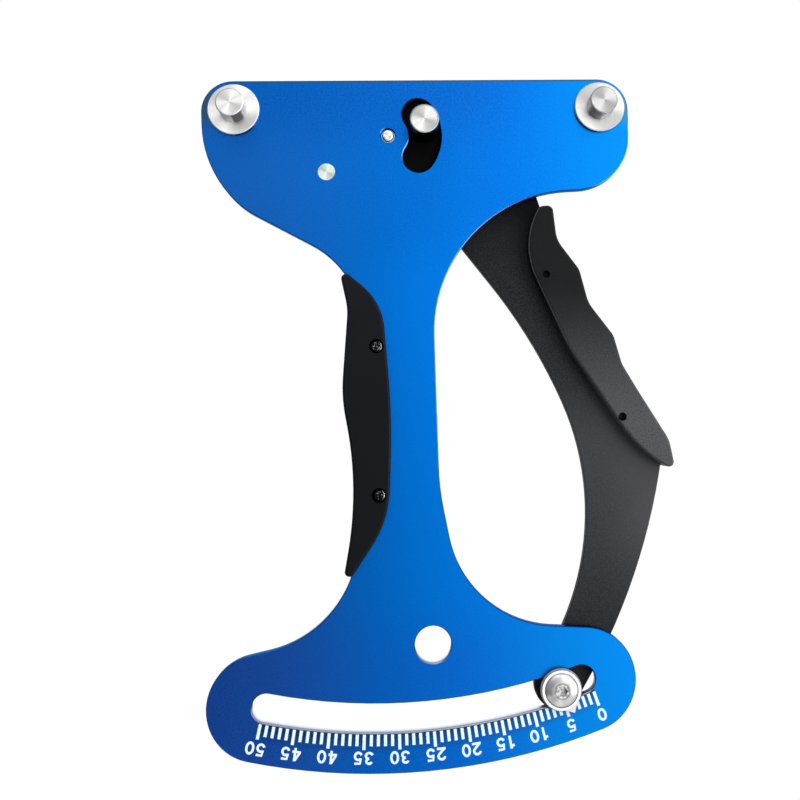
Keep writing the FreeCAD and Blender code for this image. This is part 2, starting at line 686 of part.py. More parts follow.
def pointer_screw():
    """Button-head screw through pointer, bush, arm and nut, with a hexagon socket."""
    x, z = pointer_centre()
    under_head = pointer_underside() - POINTER_T + POINTER_RECESS_DEPTH
    top = under_head - POINTER_HEAD_H
    tail = ARM_BACK + WASHER_T + NUT_H + SCREW_TAIL
    spread = POINTER_HEAD_R - POINTER_HEAD_TOP_R
    dome_foot = under_head - POINTER_HEAD_EDGE
    shoulder = vector(x + POINTER_HEAD_TOP_R + spread * 0.7, z, dome_foot + (top - dome_foot) * 0.6)
    rim_low = vector(x + POINTER_HEAD_R, z, under_head)
    rim_high = vector(x + POINTER_HEAD_R, z, dome_foot)
    profile = [
        Part.LineSegment(vector(x, z, under_head), rim_low).toShape(),
        Part.LineSegment(rim_low, rim_high).toShape(),
        Part.Arc(rim_high, shoulder, vector(x + POINTER_HEAD_TOP_R, z, top)).toShape(),
        Part.LineSegment(vector(x + POINTER_HEAD_TOP_R, z, top), vector(x, z, top)).toShape(),
        Part.LineSegment(vector(x, z, top), vector(x, z, under_head)).toShape(),
    ]
    head = Part.Face(Part.Wire(profile)).revolve(vector(x, z, 0.0), FreeCAD.Vector(0, 1, 0), 360.0)
    shank = disc(x, z, POINTER_SCREW_R, under_head, tail)
    shank = shank.makeChamfer(EDGE_BREAK, edges_at(shank, tail))
    return head.fuse(shank).cut(hexagon(x, z, SOCKET_FLATS, top, top + SOCKET_DEPTH))


def build():
    """Every sub-part by the name of its node, drawn about the pivot."""
    moving_x, moving_z = polar(KIDNEY_R, MOVING_POST_ANGLE)
    palm_front, palm_rear = palm_halves()
    finger_front, finger_rear = finger_halves()
    return {
        "body_plate": body_plate(),
        "left_post": post(LEFT_POST_X, POST_Z, POST_R, 0.0, PLATE_T, True),
        "left_post_washer": post_washer(LEFT_POST_X, POST_Z, PLATE_T),
        "left_post_screw": post_screw(LEFT_POST_X, POST_Z, PLATE_T),
        "right_post": post(RIGHT_POST_X, POST_Z, POST_R, 0.0, PLATE_T, True),
        "right_post_washer": post_washer(RIGHT_POST_X, POST_Z, PLATE_T),
        "right_post_screw": post_screw(RIGHT_POST_X, POST_Z, PLATE_T),
        "pivot_pin": pivot_pin(),
        "pivot_washer_front": pivot_washer(PLATE_T),
        "pivot_washer_rear": pivot_washer(ARM_BACK + RUN_GAP),
        "pivot_clip": pivot_clip(),
        "spring_anchor": spring_anchor(),
        "palm_grip_front": palm_front,
        "palm_grip_rear": palm_rear,
        "palm_grip_screws": Part.makeCompound(palm_screws()),
        "arm_plate": arm_plate(),
        "pivot_bushing": pivot_bushing(),
        "moving_post": post(moving_x, moving_z, MOVING_POST_R, ARM_FRONT, ARM_BACK, False),
        "moving_post_washer": post_washer(moving_x, moving_z, ARM_BACK),
        "moving_post_screw": post_screw(moving_x, moving_z, ARM_BACK),
        "spring_hook_pin": spring_hook_pin(),
        "extension_spring": extension_spring(),
        "finger_grip_front": finger_front,
        "finger_grip_rear": finger_rear,
        "finger_grip_screws": Part.makeCompound(finger_screws()),
        "pointer": pointer(),
        "pointer_bush": pointer_bush(),
        "pointer_washer": pointer_washer(),
        "pointer_nut": pointer_nut(),
        "pointer_screw": pointer_screw(),
    }


def main():
    os.makedirs("parts", exist_ok=True)
    to_hand = FreeCAD.Vector(-GRIP_X, 0, -GRIP_Z)
    for node, shape in build().items():
        shape.translate(to_hand)
        shape.exportStep("parts/" + node + ".step")
        print(node, "solids", len(shape.Solids), "valid", shape.isValid(), "volume", round(shape.Volume, 1))


main()
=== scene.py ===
"""Spoke tension meter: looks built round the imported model. Metres, in the model's own frame.

X runs towards the finger grip, +Z up the handle to the head, and the printed face looks along -Y.
The places and sizes named at the top are in millimetres, unless they say otherwise.
"""
import math

import bmesh
import bpy
from mathutils import Euler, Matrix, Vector


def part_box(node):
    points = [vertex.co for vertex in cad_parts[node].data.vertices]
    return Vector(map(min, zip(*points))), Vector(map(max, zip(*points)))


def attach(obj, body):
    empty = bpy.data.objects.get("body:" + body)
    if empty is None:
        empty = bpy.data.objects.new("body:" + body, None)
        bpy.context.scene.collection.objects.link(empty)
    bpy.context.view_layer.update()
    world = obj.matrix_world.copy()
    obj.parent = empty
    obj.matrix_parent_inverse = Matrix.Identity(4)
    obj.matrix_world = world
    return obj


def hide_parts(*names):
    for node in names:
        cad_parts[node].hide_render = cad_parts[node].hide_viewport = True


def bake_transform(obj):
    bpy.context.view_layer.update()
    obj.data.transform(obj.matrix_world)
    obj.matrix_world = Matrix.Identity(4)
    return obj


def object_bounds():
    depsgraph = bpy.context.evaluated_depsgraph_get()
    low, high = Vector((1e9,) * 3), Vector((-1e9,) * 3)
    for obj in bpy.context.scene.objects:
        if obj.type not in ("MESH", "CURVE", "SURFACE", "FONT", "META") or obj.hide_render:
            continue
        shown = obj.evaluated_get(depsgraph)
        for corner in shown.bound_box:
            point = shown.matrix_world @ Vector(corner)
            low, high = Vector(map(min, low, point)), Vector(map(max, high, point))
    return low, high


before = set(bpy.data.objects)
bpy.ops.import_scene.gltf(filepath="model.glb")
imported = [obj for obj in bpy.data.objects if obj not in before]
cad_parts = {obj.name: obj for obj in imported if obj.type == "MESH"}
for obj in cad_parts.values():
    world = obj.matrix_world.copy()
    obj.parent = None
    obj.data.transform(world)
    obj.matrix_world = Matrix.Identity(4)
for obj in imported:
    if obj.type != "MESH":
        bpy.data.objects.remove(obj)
cad_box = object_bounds()

MM = 0.001

# ---- camera: the photograph's own, held close in front of the handle ----
CAMERA_AT = (0.13, -290.77, 0.06)
CAMERA_TURN = (95.515, 1.575, -3.32)         # degrees
CAMERA_LENS = 40.5
CAMERA_SENSOR = 36.0
CAMERA_SHIFT = (-0.0675, -0.085)             # in parts of the picture's width
NEAREST_SEEN = 10.0

# ---- studio ----
FLOOR_DROP = 260.0                           # below the object
FLOOR_R = 450.0
FLOOR_COLOUR = (0.8, 0.8, 0.8, 1.0)
FLOOR_ROUGHNESS = 0.9
FLOOR_GLOW = 0.6                             # its own light, only for the camera and for reflections
FILL_LEVEL = 0.5                             # share of the room's light that matt surfaces get
ROOM_LOW = 0.05                              # brightness of the room in front, near the ground
ROOM_HIGH = 0.95                             # and overhead
ROOM_RISE = (-0.38, 0.5)                     # from which height to which it goes; parts of a direction
SCREEN_LEVEL = 1.8                           # white screen along the room's right side, added to it
SCREEN_EDGE = (-0.12, 0.3)                   # from how far right to how far right it fades in
BACK_EDGE = (0.0, 0.5)                       # and the white behind the object
WHITE = (1.0, 1.0, 1.0, 1.0)
SOFT_BOXES = (                               # name, place, aim, side, and power in watts
    ("key", (800.0, -650.0, -120.0), (0.0, 0.0, 0.0), 500.0, 6.0),
    ("top", (-250.0, -350.0, 900.0), (0.0, 0.0, 60.0), 600.0, 5.0),
)

# ---- printed scale: angles about the pivot, in degrees from straight down, positive to the right ----
SCALE_UNITS = 50
SCALE_ANGLE = (18.6697, -0.577597, -0.00229009, 0.0000233054)   # cubic in the reading
TICK_START_R = 190.85                        # from the pivot
SHORT_TICK_END_R = 194.3
LONG_TICK_END_R = 195.4
TICK_WIDTH = 0.95
LONG_TICK_EVERY = 5
NUMBER_HEIGHT = 3.95
NUMBER_GAP = 0.4                             # between a long tick and its number, where it is least
NUMBER_GAP_MORE = 0.5                        # added to it at the scale's two ends
DIGIT_STROKE = 0.185                         # in parts of the number's height, like the digits' own sizes
DIGIT_ADVANCE = 0.84
DIGIT_HALF_WIDTH = 0.26
BOW_STEP = 12.0                              # degrees between the points of a round stroke
INK_T = 0.03                                 # the ink stands this proud of the plate
INK_LAYER_DROP = 0.1                         # each further stroke of a digit is thinner by this share
INK = ((0.6, 0.76, 0.84), (0.74, 0.87, 0.92))                   # where it is thin, and where it covers

# ---- dye of the blue plate ----
DYE = ((0.0008, 0.094, 0.435), (0.0012, 0.104, 0.465))          # clouds from one to the other
DYE_MOTTLE = (0.003, 0.175, 0.62)
DYE_SHEEN = (0.4, 0.65, 1.0, 1.0)
EVERYWHERE = (-500.0, -499.0)
# the dye's drift, partly painted light: darker and more violet to the left, brighter and more cyan to the
# right
DYE_AND_LIGHT_PATCHES = (                              # colour, and where it fades in across and upward
    ((0.011, 0.098, 0.43), (5.0, -55.0), EVERYWHERE),
    ((0.0, 0.135, 0.56), (-35.0, 8.0), (75.0, 35.0)),
    ((0.001, 0.143, 0.45), (30.0, 75.0), (30.0, 60.0)),
    ((0.003, 0.067, 0.354), (60.0, 20.0), (80.0, 110.0)),
    ((0.003, 0.1, 0.51), EVERYWHERE, (-50.0, -80.0)),
    ((0.02, 0.065, 0.43), (-5.0, -45.0), (-40.0, -75.0)),
    ((0.001, 0.156, 0.493), (15.0, 55.0), (-40.0, -75.0)),
)
EDGE_SHADES = (                              # the same, over the mottle: the head's corners and top edge
    ((0.03, 0.08, 0.146), (-57.5, -61.5), (94.0, 103.0)),
    ((0.035, 0.15, 0.25), (74.5, 78.0), (94.0, 103.0)),
    ((0.015, 0.085, 0.19), EVERYWHERE, (111.5, 112.6)),
)

# ---- the plate's walls and edges ----
PAINTED_SHADE_BETWEEN_STROKES = (0.01, 0.045, 0.1)         # painted shade between the scale's strokes
# broken edges in painted shade, with a painted highlight where they look towards the light
CHAMFER_PAINTED_SHADE = (0.001, 0.03, 0.13)
CHAMFER_LIT = (0.2, 0.4, 0.8)                # where it looks towards the light
CHAMFER_LIGHT = (0.91, -0.42)                # X and Z of the way to that light
CHAMFER_LIT_UPWARD = ((-30.0, 10.0), (99.5, 95.5))              # where that fades in, and out again
CHAMFER_BY_LIT_WALLS = (0.12, 0.12, 0.16)          # at the dial slot and the hang hole, painted lighter beside their lit walls
CUT_WALL = (0.006, 0.05, 0.22)
LIT_WALL_LIP = (0.36, 0.31, 0.3)               # painted light on the upward-facing lower wall of the slot and of the hole, near the front
LIT_WALL_DEEP = (1.0, 0.97, 0.96)              # and behind that
LIT_WALL_LIP_Y = (0.7, 1.9)                    # from how deep to how deep the one goes over into the other
SLOT_REACH = 6.0                             # the slot's lower wall lies within this of the ticks' start
SLOT_BEYOND = 0.03                           # and runs on beyond the scale's ends; radians
SHADE_REACH = 3.0                            # the painted shade between the strokes starts this far within them
SHADE_DEPTH = 0.92
HANG_HOLE = (8.5, -70.3)                     # the round hole above the dial, X and Z
HANG_HOLE_WALL_R = 6.2                       # everything nearer than this is its wall
PIVOT_RECESS_R = 2.5                         # round the pivot pin's end
PIVOT_FLOOR_R = 2.12                         # the recess's floor, within its wall
PIVOT_GLINT_TURN = 2.45                      # a painted glint lies on its edge here; radians from +X towards +Z
# painted glint, painted shade on the recess's wall, and painted light on its floor
RECESS_GLINT = (0.12, 0.45, 0.85)
RECESS_WALL_PAINTED_SHADE = (0.0, 0.012, 0.04)
RECESS_FLOOR_PAINTED_LIGHT = (0.6, 0.8, 0.92)

# ---- coating of the arm ----
COAT_TINT = (0.97, 1.03, 1.14)
COAT_REACH = (-80.0, 80.0)                   # the heights between which its levels of painted light lie
COAT_PAINTED_LIGHT_LEVELS = (                              # part of the way up, and brightness there; painted light and shade, brightest below the middle, dark where the fingers and the plate shade the arm higher up
    (0.03, 0.014), (0.12, 0.0185), (0.22, 0.029), (0.3, 0.0355), (0.38, 0.0445),
    (0.47, 0.04), (0.58, 0.0205), (0.74, 0.0115), (0.88, 0.0105), (0.97, 0.0005),
)
# painted light towards the arm's lower right edge, which faces the light
COAT_LIT_RIGHT = (0.062, 0.062, 0.066)
COAT_LIT_RIGHT_ACROSS = (62.0, 84.0)              # where that painted light fades in
COAT_LIT_RIGHT_UPWARD = ((0.0, -25.0), (-75.0, -25.0))
COAT_DUST = (0.09, 0.09, 0.095)
COAT_DUST_UPWARD = (80.0, 40.0)              # where the dust fades in, downward; it is left off the top, which is painted in shade
COAT_EDGE = (0.055, 0.055, 0.06)

# ---- grips, screws and small pieces ----
# each grip's colour for its lower end is painted light: lighter on the finger grip, darker as painted shade
# on the palm grip
FINGER_GRIP_LOOKS = {
    "dark": (0.0028, 0.0032, 0.0035),
    "light": (0.005, 0.0055, 0.006),
    "lower_painted_light": (0.084, 0.086, 0.09),
    "specular": 0.1,
}
PALM_GRIP_LOOKS = {
    "dark": (0.003, 0.0035, 0.005),
    "light": (0.005, 0.0055, 0.0075),
    "lower_painted_light": (0.002, 0.0028, 0.004),
    "specular": 0.09,
}
GRIP_PAINTED_LIGHT_UPWARD = (-5.0, 45.0)              # where the painted light at a grip's lower end goes over into the rest
# painted highlight on the finger grip's rounded left edge, high up
GRIP_RIM_HIGHLIGHT = (0.09, 0.09, 0.095)
GRIP_RIM_HIGHLIGHT_UPWARD = (5.0, 25.0)
GRIP_JOINT = (0.08, 0.2)                     # the dark joint against the sheet: full within, gone beyond
NEAR_BLACK = (0.0005, 0.0005, 0.0005)
MOULD_MARK = (79.4, -7.7)                    # the finger grip's ejector mark, X and Z
MOULD_MARK_REACH = 3.0
MOULD_MARK_HEIGHTS = ((0.5, 1.0), (0.6, 0.0), (0.7, 1.0))       # part of that reach, and height there
SCREW_HOLES = ((48.6, 46.5), (71.8, -0.7))   # the finger grip's two screw holes, painted near black within as shade
SCREW_HOLE_R = 1.3
PALM_SCREWS = ((-7.4, 23.8), (-7.4, -23.2))  # the palm grip's two screws, X and Z
OXIDE_DARK = (0.007, 0.007, 0.008)           # their heads, and the painted glints on them
OXIDE_GLINT = (0.5, 0.5, 0.54)
OXIDE_PAINTED_SHADE = (0.005, 0.005, 0.0055)          # the finger grip's screws, painted darker as shade deep in their holes
OXIDE = (0.018, 0.018, 0.02)
ZINC = (0.62, 0.62, 0.64)
BRONZE = ((0.16, 0.1, 0.045), (0.5, 0.34, 0.16))                # in its pores, and between them

# ---- turned steel ----
END_FACE_Y = -6.0                            # beyond this a turned face is a post's end
POST_RIM_R = 4.0                             # and beyond this radius it is the end's rim
TURNED_ROUGHNESS = (0.46, 0.56)
LIGHT_FAN = ((2.0, 0.5, 0.14), (4.0, 1.57, 0.2), (6.0, 0.7, 0.14))   # painted highlight sectors: sectors in a turn, phase and share
TURNED_LOOKS = {                             # what each piece changes of turned_steel's own looks, painted light and shade among them
    "pivot_pin": {
        "bright": (0.7, 0.75, 0.76),
        "side": (1.0, 1.0, 1.0),
        "side_lit": (1.0, 1.0, 1.0),
        "side_shaded": (1.0, 1.0, 1.0),
        "spokes": 0.5,
    },
    "spring_anchor": {
        "bright": (0.6, 0.66, 0.63),
        "spokes": 0.4,
    },
    "left_post": {
        "side_lit": (0.9, 0.9, 0.88),
        "side_shaded": (0.1, 0.1, 0.1),
        "shade_starts": (0.88, 0.95),
    },
    "moving_post": {
        "bright": (0.6, 0.6, 0.58),
        # its barrel is painted dark, and darker still towards the hand: painted shade
        "side": (0.12, 0.12, 0.13),
        "side_shaded": (0.008, 0.008, 0.009),
        "shade_starts": (0.1, 0.45),
    },
    "right_post": {
        "bright": (0.62, 0.62, 0.615),
        # its end is painted darker than its flange: painted shade
        "end": (0.44, 0.44, 0.435),
        "side_shaded": (0.3, 0.3, 0.3),
    },
}

# ---- pointer and its screw: radii about the screw ----
POINTER_SLOPE_SHADED = ((0.16, 0.16, 0.17), (0.28, 0.28, 0.29))        # the slope, painted greyer than the ring as shade: clouds from one to the other
RING_R = 5.6
RING = (0.88, 0.88, 0.87)
# the outer wall, painted dark as shade
RING_WALL_PAINTED_SHADE = (0.1, 0.1, 0.11)
BEAK_R = 6.2                                 # beyond this the ring goes over into the beak
BEAK = (0.5, 0.5, 0.51)
HEAD_R = 5.2
HEAD_DOME = ((0.33, 0.33, 0.33), (0.52, 0.52, 0.51))            # in its painted dark sectors and its painted bright ones
HEAD_TOP_R = 2.2                             # the head's flat top, round its socket
HEAD_TOP = ((0.24, 0.24, 0.24), (0.6, 0.6, 0.6))                # swirls from one to the other
HEAD_SHADE_WEDGE_TURN = 3.2                        # the painted darker wedge of shade on its dome; radians from +X towards +Z

# ---- return spring ----
WIRE_R = 0.4
WIRE_SIDES = 12
WIRE = (0.6, 0.6, 0.6)
COIL_R = 2.4                                 # outside radius
COIL_STEPS = 22                              # points in each turn
COIL_SPREAD = 1.04                           # from turn to turn, in wire thicknesses
COIL_GAP = 0.5                               # from a loop's centre line to the coil
LOOP_R = 2.3                                 # centre line of the end loops
LOOP_STEPS = 30
LOOP_TURN = 330.0                            # degrees
LOOP_SLACK = 0.14                            # from a pin's centre to its loop's
BEND_STEPS = 8
BEND_PULL = 0.6                              # how firmly a bend keeps to its two ways


def mm(x, y, z):
    return Vector((x, y, z)) * MM


def node_centre(name):
    low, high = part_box(name)
    return (Vector(low) + Vector(high)) / 2.0


PIVOT = node_centre("pivot_pin")


# ---------------------------------------------------------------- node helpers

def grey(level):
    return (level, level, level)


def scaled(colour, factor):
    return tuple(part * factor for part in colour)


def new_material(name):
    """A material, its node tree and its shader."""
    material = bpy.data.materials.new(name)
    material.use_nodes = True
    tree = material.node_tree
    return material, tree, tree.nodes["Principled BSDF"]


def set_surface(tree, shader, colour, roughness, metallic=0.0):
    tree.links.new(colour, shader.inputs["Base Color"])
    tree.links.new(roughness, shader.inputs["Roughness"])
    shader.inputs["Metallic"].default_value = metallic


def object_position(tree, centre=(0.0, 0.0, 0.0)):
    """Position on the object, measured from a centre."""
    coords = tree.nodes.new("ShaderNodeTexCoord")
    shifted = tree.nodes.new("ShaderNodeVectorMath")
    shifted.operation = "SUBTRACT"
    shifted.inputs[1].default_value = centre
    tree.links.new(coords.outputs["Object"], shifted.inputs[0])
    return shifted.outputs[0]


def noise(tree, position, grain_mm, detail=2.0, stretch=(1.0, 1.0, 1.0)):
    """Noise whose grains are about grain_mm across, drawn out along any axis with a small stretch."""
    finer = tree.nodes.new("ShaderNodeVectorMath")
    finer.operation = "MULTIPLY"
    finer.inputs[1].default_value = [s / (grain_mm * MM) for s in stretch]
    tree.links.new(position, finer.inputs[0])
    texture = tree.nodes.new("ShaderNodeTexNoise")
    texture.inputs["Scale"].default_value = 1.0
    texture.inputs["Detail"].default_value = detail
    tree.links.new(finer.outputs[0], texture.inputs["Vector"])
    return texture.outputs["Fac"]


def ramp(tree, value, stops):
    """Colour ramp from (place, colour) pairs."""
    node = tree.nodes.new("ShaderNodeValToRGB")
    elements = node.color_ramp.elements
    while len(elements) < len(stops):
        elements.new(0.5)
    for element, (place, colour) in zip(elements, stops):
        element.position = place
        element.color = colour + (1.0,)
    tree.links.new(value, node.inputs["Fac"])
    return node.outputs["Color"]


def remap(tree, value, low, high, to_low=0.0, to_high=1.0, shape="LINEAR"):
    """A value's way from low to high, turned into one from to_low to to_high."""
    node = tree.nodes.new("ShaderNodeMapRange")
    node.interpolation_type = shape
    for socket, number in zip(("From Min", "From Max", "To Min", "To Max"), (low, high, to_low, to_high)):
        node.inputs[socket].default_value = number
    tree.links.new(value, node.inputs["Value"])
    return node.outputs["Result"]


def remap_mm(tree, length, low_mm, high_mm, to_low=0.0, to_high=1.0, shape="LINEAR"):
    """The same for a length, between two sizes in mm."""
    return remap(tree, length, low_mm * MM, high_mm * MM, to_low, to_high, shape)


def mix(tree, share, colour_a, colour_b):
    """A share of colour_b in colour_a; each may be a socket."""
    node = tree.nodes.new("ShaderNodeMix")
    node.data_type = "RGBA"
    tree.links.new(share, node.inputs["Factor"])
    for socket, colour in ((node.inputs[6], colour_a), (node.inputs[7], colour_b)):
        if isinstance(colour, tuple):
            socket.default_value = colour + (1.0,)
        else:
            tree.links.new(colour, socket)
    return node.outputs[2]


def layered(tree, colour, *layers):
    """A colour with others laid over it in turn, each given as its share and itself."""
    for share, layer in layers:
        colour = mix(tree, share, colour, layer)
    return colour


def bump(tree, shader, heights, strength, distance_mm):
    """Bump from one height, or from several laid on each other."""
    normal = None
    for height in heights:
        node = tree.nodes.new("ShaderNodeBump")
        node.inputs["Strength"].default_value = strength
        node.inputs["Distance"].default_value = distance_mm * MM
        tree.links.new(height, node.inputs["Height"])
        if normal is not None:
            tree.links.new(normal, node.inputs["Normal"])
        normal = node.outputs["Normal"]
    tree.links.new(normal, shader.inputs["Normal"])


def calculate(tree, operation, *values):
    """Result of a sum on sockets and plain numbers."""
    node = tree.nodes.new("ShaderNodeMath")
    node.operation = operation
    for socket, value in zip(node.inputs, values):
        if isinstance(value, (int, float)):
            socket.default_value = value
        else:
            tree.links.new(value, socket)
    return node.outputs[0]


def product(tree, first, *others):
    for other in others:
        first = calculate(tree, "MULTIPLY", first, other)
    return first


def parts_of(tree, vector):
    """X, Y and Z of a position or a direction."""
    split = tree.nodes.new("ShaderNodeSeparateXYZ")
    tree.links.new(vector, split.inputs[0])
    return split.outputs["X"], split.outputs["Y"], split.outputs["Z"]


def normal_parts(tree):
    """X, Y and Z of the surface's direction on the object."""
    coords = tree.nodes.new("ShaderNodeTexCoord")
    return parts_of(tree, coords.outputs["Normal"])


def facing_front(tree):
    """1 on faces that look along Y, 0 on the walls round an edge."""
    return calculate(tree, "ABSOLUTE", normal_parts(tree)[1])


def wall_share(tree):
    """1 on the walls round a flat face, 0 on the face itself."""
    return remap(tree, facing_front(tree), 0.3, 0.6, 1.0, 0.0)


def fade_up(tree, position, low_mm, high_mm):
    """0 below one height and 1 above another."""
    return remap_mm(tree, parts_of(tree, position)[2], low_mm, high_mm, shape="SMOOTHSTEP")


def fade_right(tree, position, low_mm, high_mm):
    """0 to the left of one place and 1 to the right of another."""
    return remap_mm(tree, parts_of(tree, position)[0], low_mm, high_mm, shape="SMOOTHSTEP")


def radius_from(tree, position, x_mm=0.0, z_mm=0.0):
    """Distance from the Y axis through the centre, or through a place beside it."""
    x, _, z = parts_of(tree, position)
    flat = tree.nodes.new("ShaderNodeCombineXYZ")
    tree.links.new(calculate(tree, "SUBTRACT", x, x_mm * MM), flat.inputs["X"])
    tree.links.new(calculate(tree, "SUBTRACT", z, z_mm * MM), flat.inputs["Y"])
    length = tree.nodes.new("ShaderNodeVectorMath")
    length.operation = "LENGTH"
    tree.links.new(flat.outputs[0], length.inputs[0])
    return length.outputs["Value"]


def around(tree, position):
    """Angle about the Y axis through the centre, in radians from +X towards +Z."""
    x, _, z = parts_of(tree, position)
    return calculate(tree, "ARCTAN2", z, x)


def closeness(tree, angle, turn):
    """Cosine of how far an angle lies from a turn: 1 on it, -1 on the far side."""
    return calculate(tree, "COSINE", calculate(tree, "SUBTRACT", angle, turn))


def band(tree, length, pitch_mm):
    """Sine of a length, once per pitch."""
    return calculate(tree, "SINE", calculate(tree, "MULTIPLY", length, 2.0 * math.pi / (pitch_mm * MM)))


def rings(tree, position, pitch_mm):
    """Fine turning lines: circles about the Y axis through the centre."""
    return band(tree, radius_from(tree, position), pitch_mm)


def light_fan(tree, angle):
    """0 to 1 round a turned face: painted bright and dark sectors of highlight, which meet evenly after a
    full turn.
    """
    total = 0.5
    for sectors, phase, share in LIGHT_FAN:
        wave = calculate(tree, "SINE", calculate(tree, "MULTIPLY_ADD", angle, sectors, phase))
        total = calculate(tree, "MULTIPLY_ADD", wave, share, total)
    return total


# ---------------------------------------------------------------- blue plate

def blue_anodised():
    """Satin blue sheet: drifting dye with painted light in it, fine blasted grain, and edge and wall
    colours, partly painted light and shade.
    """
    material, tree, shader = new_material("blue_anodised")
    position = object_position(tree)
    speck = noise(tree, position, grain_mm=0.6, detail=4.0)
    grain = noise(tree, position, grain_mm=0.16)
    # painted light on the walls that face up at the dial slot and the hang hole
    lit_walls = calculate(tree, "MAXIMUM", dial_slot_share(tree), hang_hole_share(tree, position))
    edge = remap(tree, facing_front(tree), 0.75, 0.93, 1.0, 0.0)
    colour = layered(tree, dyed_face(tree, position, speck),
                     (edge, plate_chamfer(tree, position, lit_walls)),
                     (wall_share(tree), plate_wall(tree, position, lit_walls)))
    roughness = remap(tree, grain, 0.2, 0.8, 0.3, 0.39)
    set_surface(tree, shader, pivot_recess(tree, colour), roughness, metallic=1.0)
    shader.inputs["Specular Tint"].default_value = DYE_SHEEN
    bump(tree, shader, [grain, speck], strength=0.35, distance_mm=0.012)
    return material


def dyed_face(tree, position, speck):
    """Mottled dye from violet to cyan, partly painted light, with darker colour at the head's edges and
    painted shade between the strokes.
    """
    cloud = noise(tree, position, grain_mm=38.0, detail=3.0)
    dye = ramp(tree, cloud, [(0.35, DYE[0]), (0.65, DYE[1])])
    dye = patched(tree, position, dye, DYE_AND_LIGHT_PATCHES)
    mottled = mix(tree, remap(tree, speck, 0.3, 0.7, 0.05, 0.57), dye, DYE_MOTTLE)
    printed_side = remap(tree, normal_parts(tree)[1], -0.9, -0.6, 1.0, 0.0)
    return layered(tree, mottled,
                   (printed_side, patched(tree, position, mottled, EDGE_SHADES)),
                   (product(tree, scale_shade(tree), printed_side), PAINTED_SHADE_BETWEEN_STROKES))


def patched(tree, position, colour, patches):
    """Colour with others laid over it, each fading in across and upward."""
    for patch, across, upward in patches:
        share = product(tree, fade_right(tree, position, *across), fade_up(tree, position, *upward))
        colour = mix(tree, share, colour, patch)
    return colour


def plate_chamfer(tree, position, lit_walls):
    """Broken edge of the sheet: painted shade, with a painted highlight from the handle up to the head
    towards the light.
    """
    right, _, up = normal_parts(tree)
    light_x, light_z = CHAMFER_LIGHT
    toward_light = calculate(tree, "MULTIPLY_ADD", right, light_x, product(tree, up, light_z))
    lit = product(tree, remap(tree, toward_light, 0.45, 0.68),
                  *(fade_up(tree, position, *heights) for heights in CHAMFER_LIT_UPWARD))
    return layered(tree, CHAMFER_PAINTED_SHADE, (lit, CHAMFER_LIT), (lit_walls, CHAMFER_BY_LIT_WALLS))


def plate_wall(tree, position, lit_walls):
    """Cut wall of the sheet, painted lit where it faces up at the dial slot and the hang hole."""
    deep = remap_mm(tree, parts_of(tree, position)[1], *LIT_WALL_LIP_Y)
    return mix(tree, lit_walls, CUT_WALL, mix(tree, deep, LIT_WALL_LIP, LIT_WALL_DEEP))


def dial_slot_share(tree):
    """1 on the dial slot's lower wall, which faces up to the light and is painted lit, else 0."""
    position = object_position(tree, PIVOT)
    radius = radius_from(tree, position)
    above = remap_mm(tree, radius, TICK_START_R - SLOT_REACH, TICK_START_R - SLOT_REACH + 1.0)
    below = remap_mm(tree, radius, TICK_START_R, TICK_START_R + 0.3, 1.0, 0.0)
    up = remap(tree, normal_parts(tree)[2], -0.1, 0.2)
    return product(tree, above, below, up, within_scale(tree, position, beyond=SLOT_BEYOND))


def hang_hole_share(tree, position):
    """1 on the lower wall of the hang hole, which faces up and is painted lit too, else 0."""
    radius = radius_from(tree, position, *HANG_HOLE)
    near = remap_mm(tree, radius, HANG_HOLE_WALL_R, HANG_HOLE_WALL_R + 0.1, 1.0, 0.0)
    return product(tree, near, remap(tree, normal_parts(tree)[2], 0.2, 0.6))


def pivot_recess(tree, colour):
    """The plate's colour, with painted shade on the wall and a painted highlight on the floor of the pivot
    pin's recess.

    A painted glint lies on the recess's edge at its upper left.
    """
    position = object_position(tree, PIVOT)
    radius = radius_from(tree, position)
    near = remap_mm(tree, radius, PIVOT_RECESS_R + 0.2, PIVOT_RECESS_R + 0.4, 1.0, 0.0)
    toward_glint = closeness(tree, around(tree, position), PIVOT_GLINT_TURN)
    glint = product(tree, near, remap(tree, toward_glint, 0.87, 0.97, 0.0, 0.8))
    inside = remap_mm(tree, radius, PIVOT_RECESS_R - 0.1, PIVOT_RECESS_R, 1.0, 0.0)
    floor = remap_mm(tree, radius, PIVOT_FLOOR_R, PIVOT_FLOOR_R + 0.08, 1.0, 0.0)
    return layered(tree, colour, (glint, RECESS_GLINT), (inside, RECESS_WALL_PAINTED_SHADE), (floor, RECESS_FLOOR_PAINTED_LIGHT))


def within_scale(tree, position, beyond, soft=0.003):
    """1 between the scale's two ends, seen from the pivot, and up to an angle beyond them, else 0."""
    x, _, z = parts_of(tree, position)
    turn = calculate(tree, "ARCTAN2", x, product(tree, z, -1.0))
    left = scale_turn(SCALE_UNITS) - beyond
    right = scale_turn(0) + beyond
    return product(tree, remap(tree, turn, left - soft, left),
                   remap(tree, turn, right, right + soft, 1.0, 0.0))


def scale_shade(tree):
    """Share of painted shade on the plate between the scale's strokes, deepest against the slot."""
    position = object_position(tree, PIVOT)
    radius = radius_from(tree, position)
    depth = remap_mm(tree, radius, TICK_START_R, LONG_TICK_END_R + 1.0, SHADE_DEPTH, 0.0)
    near = remap_mm(tree, radius, TICK_START_R - SHADE_REACH, TICK_START_R - SHADE_REACH + 1.0)
    return product(tree, within_scale(tree, position, beyond=0.0), depth, near)


# ---------------------------------------------------------------- arm and grips

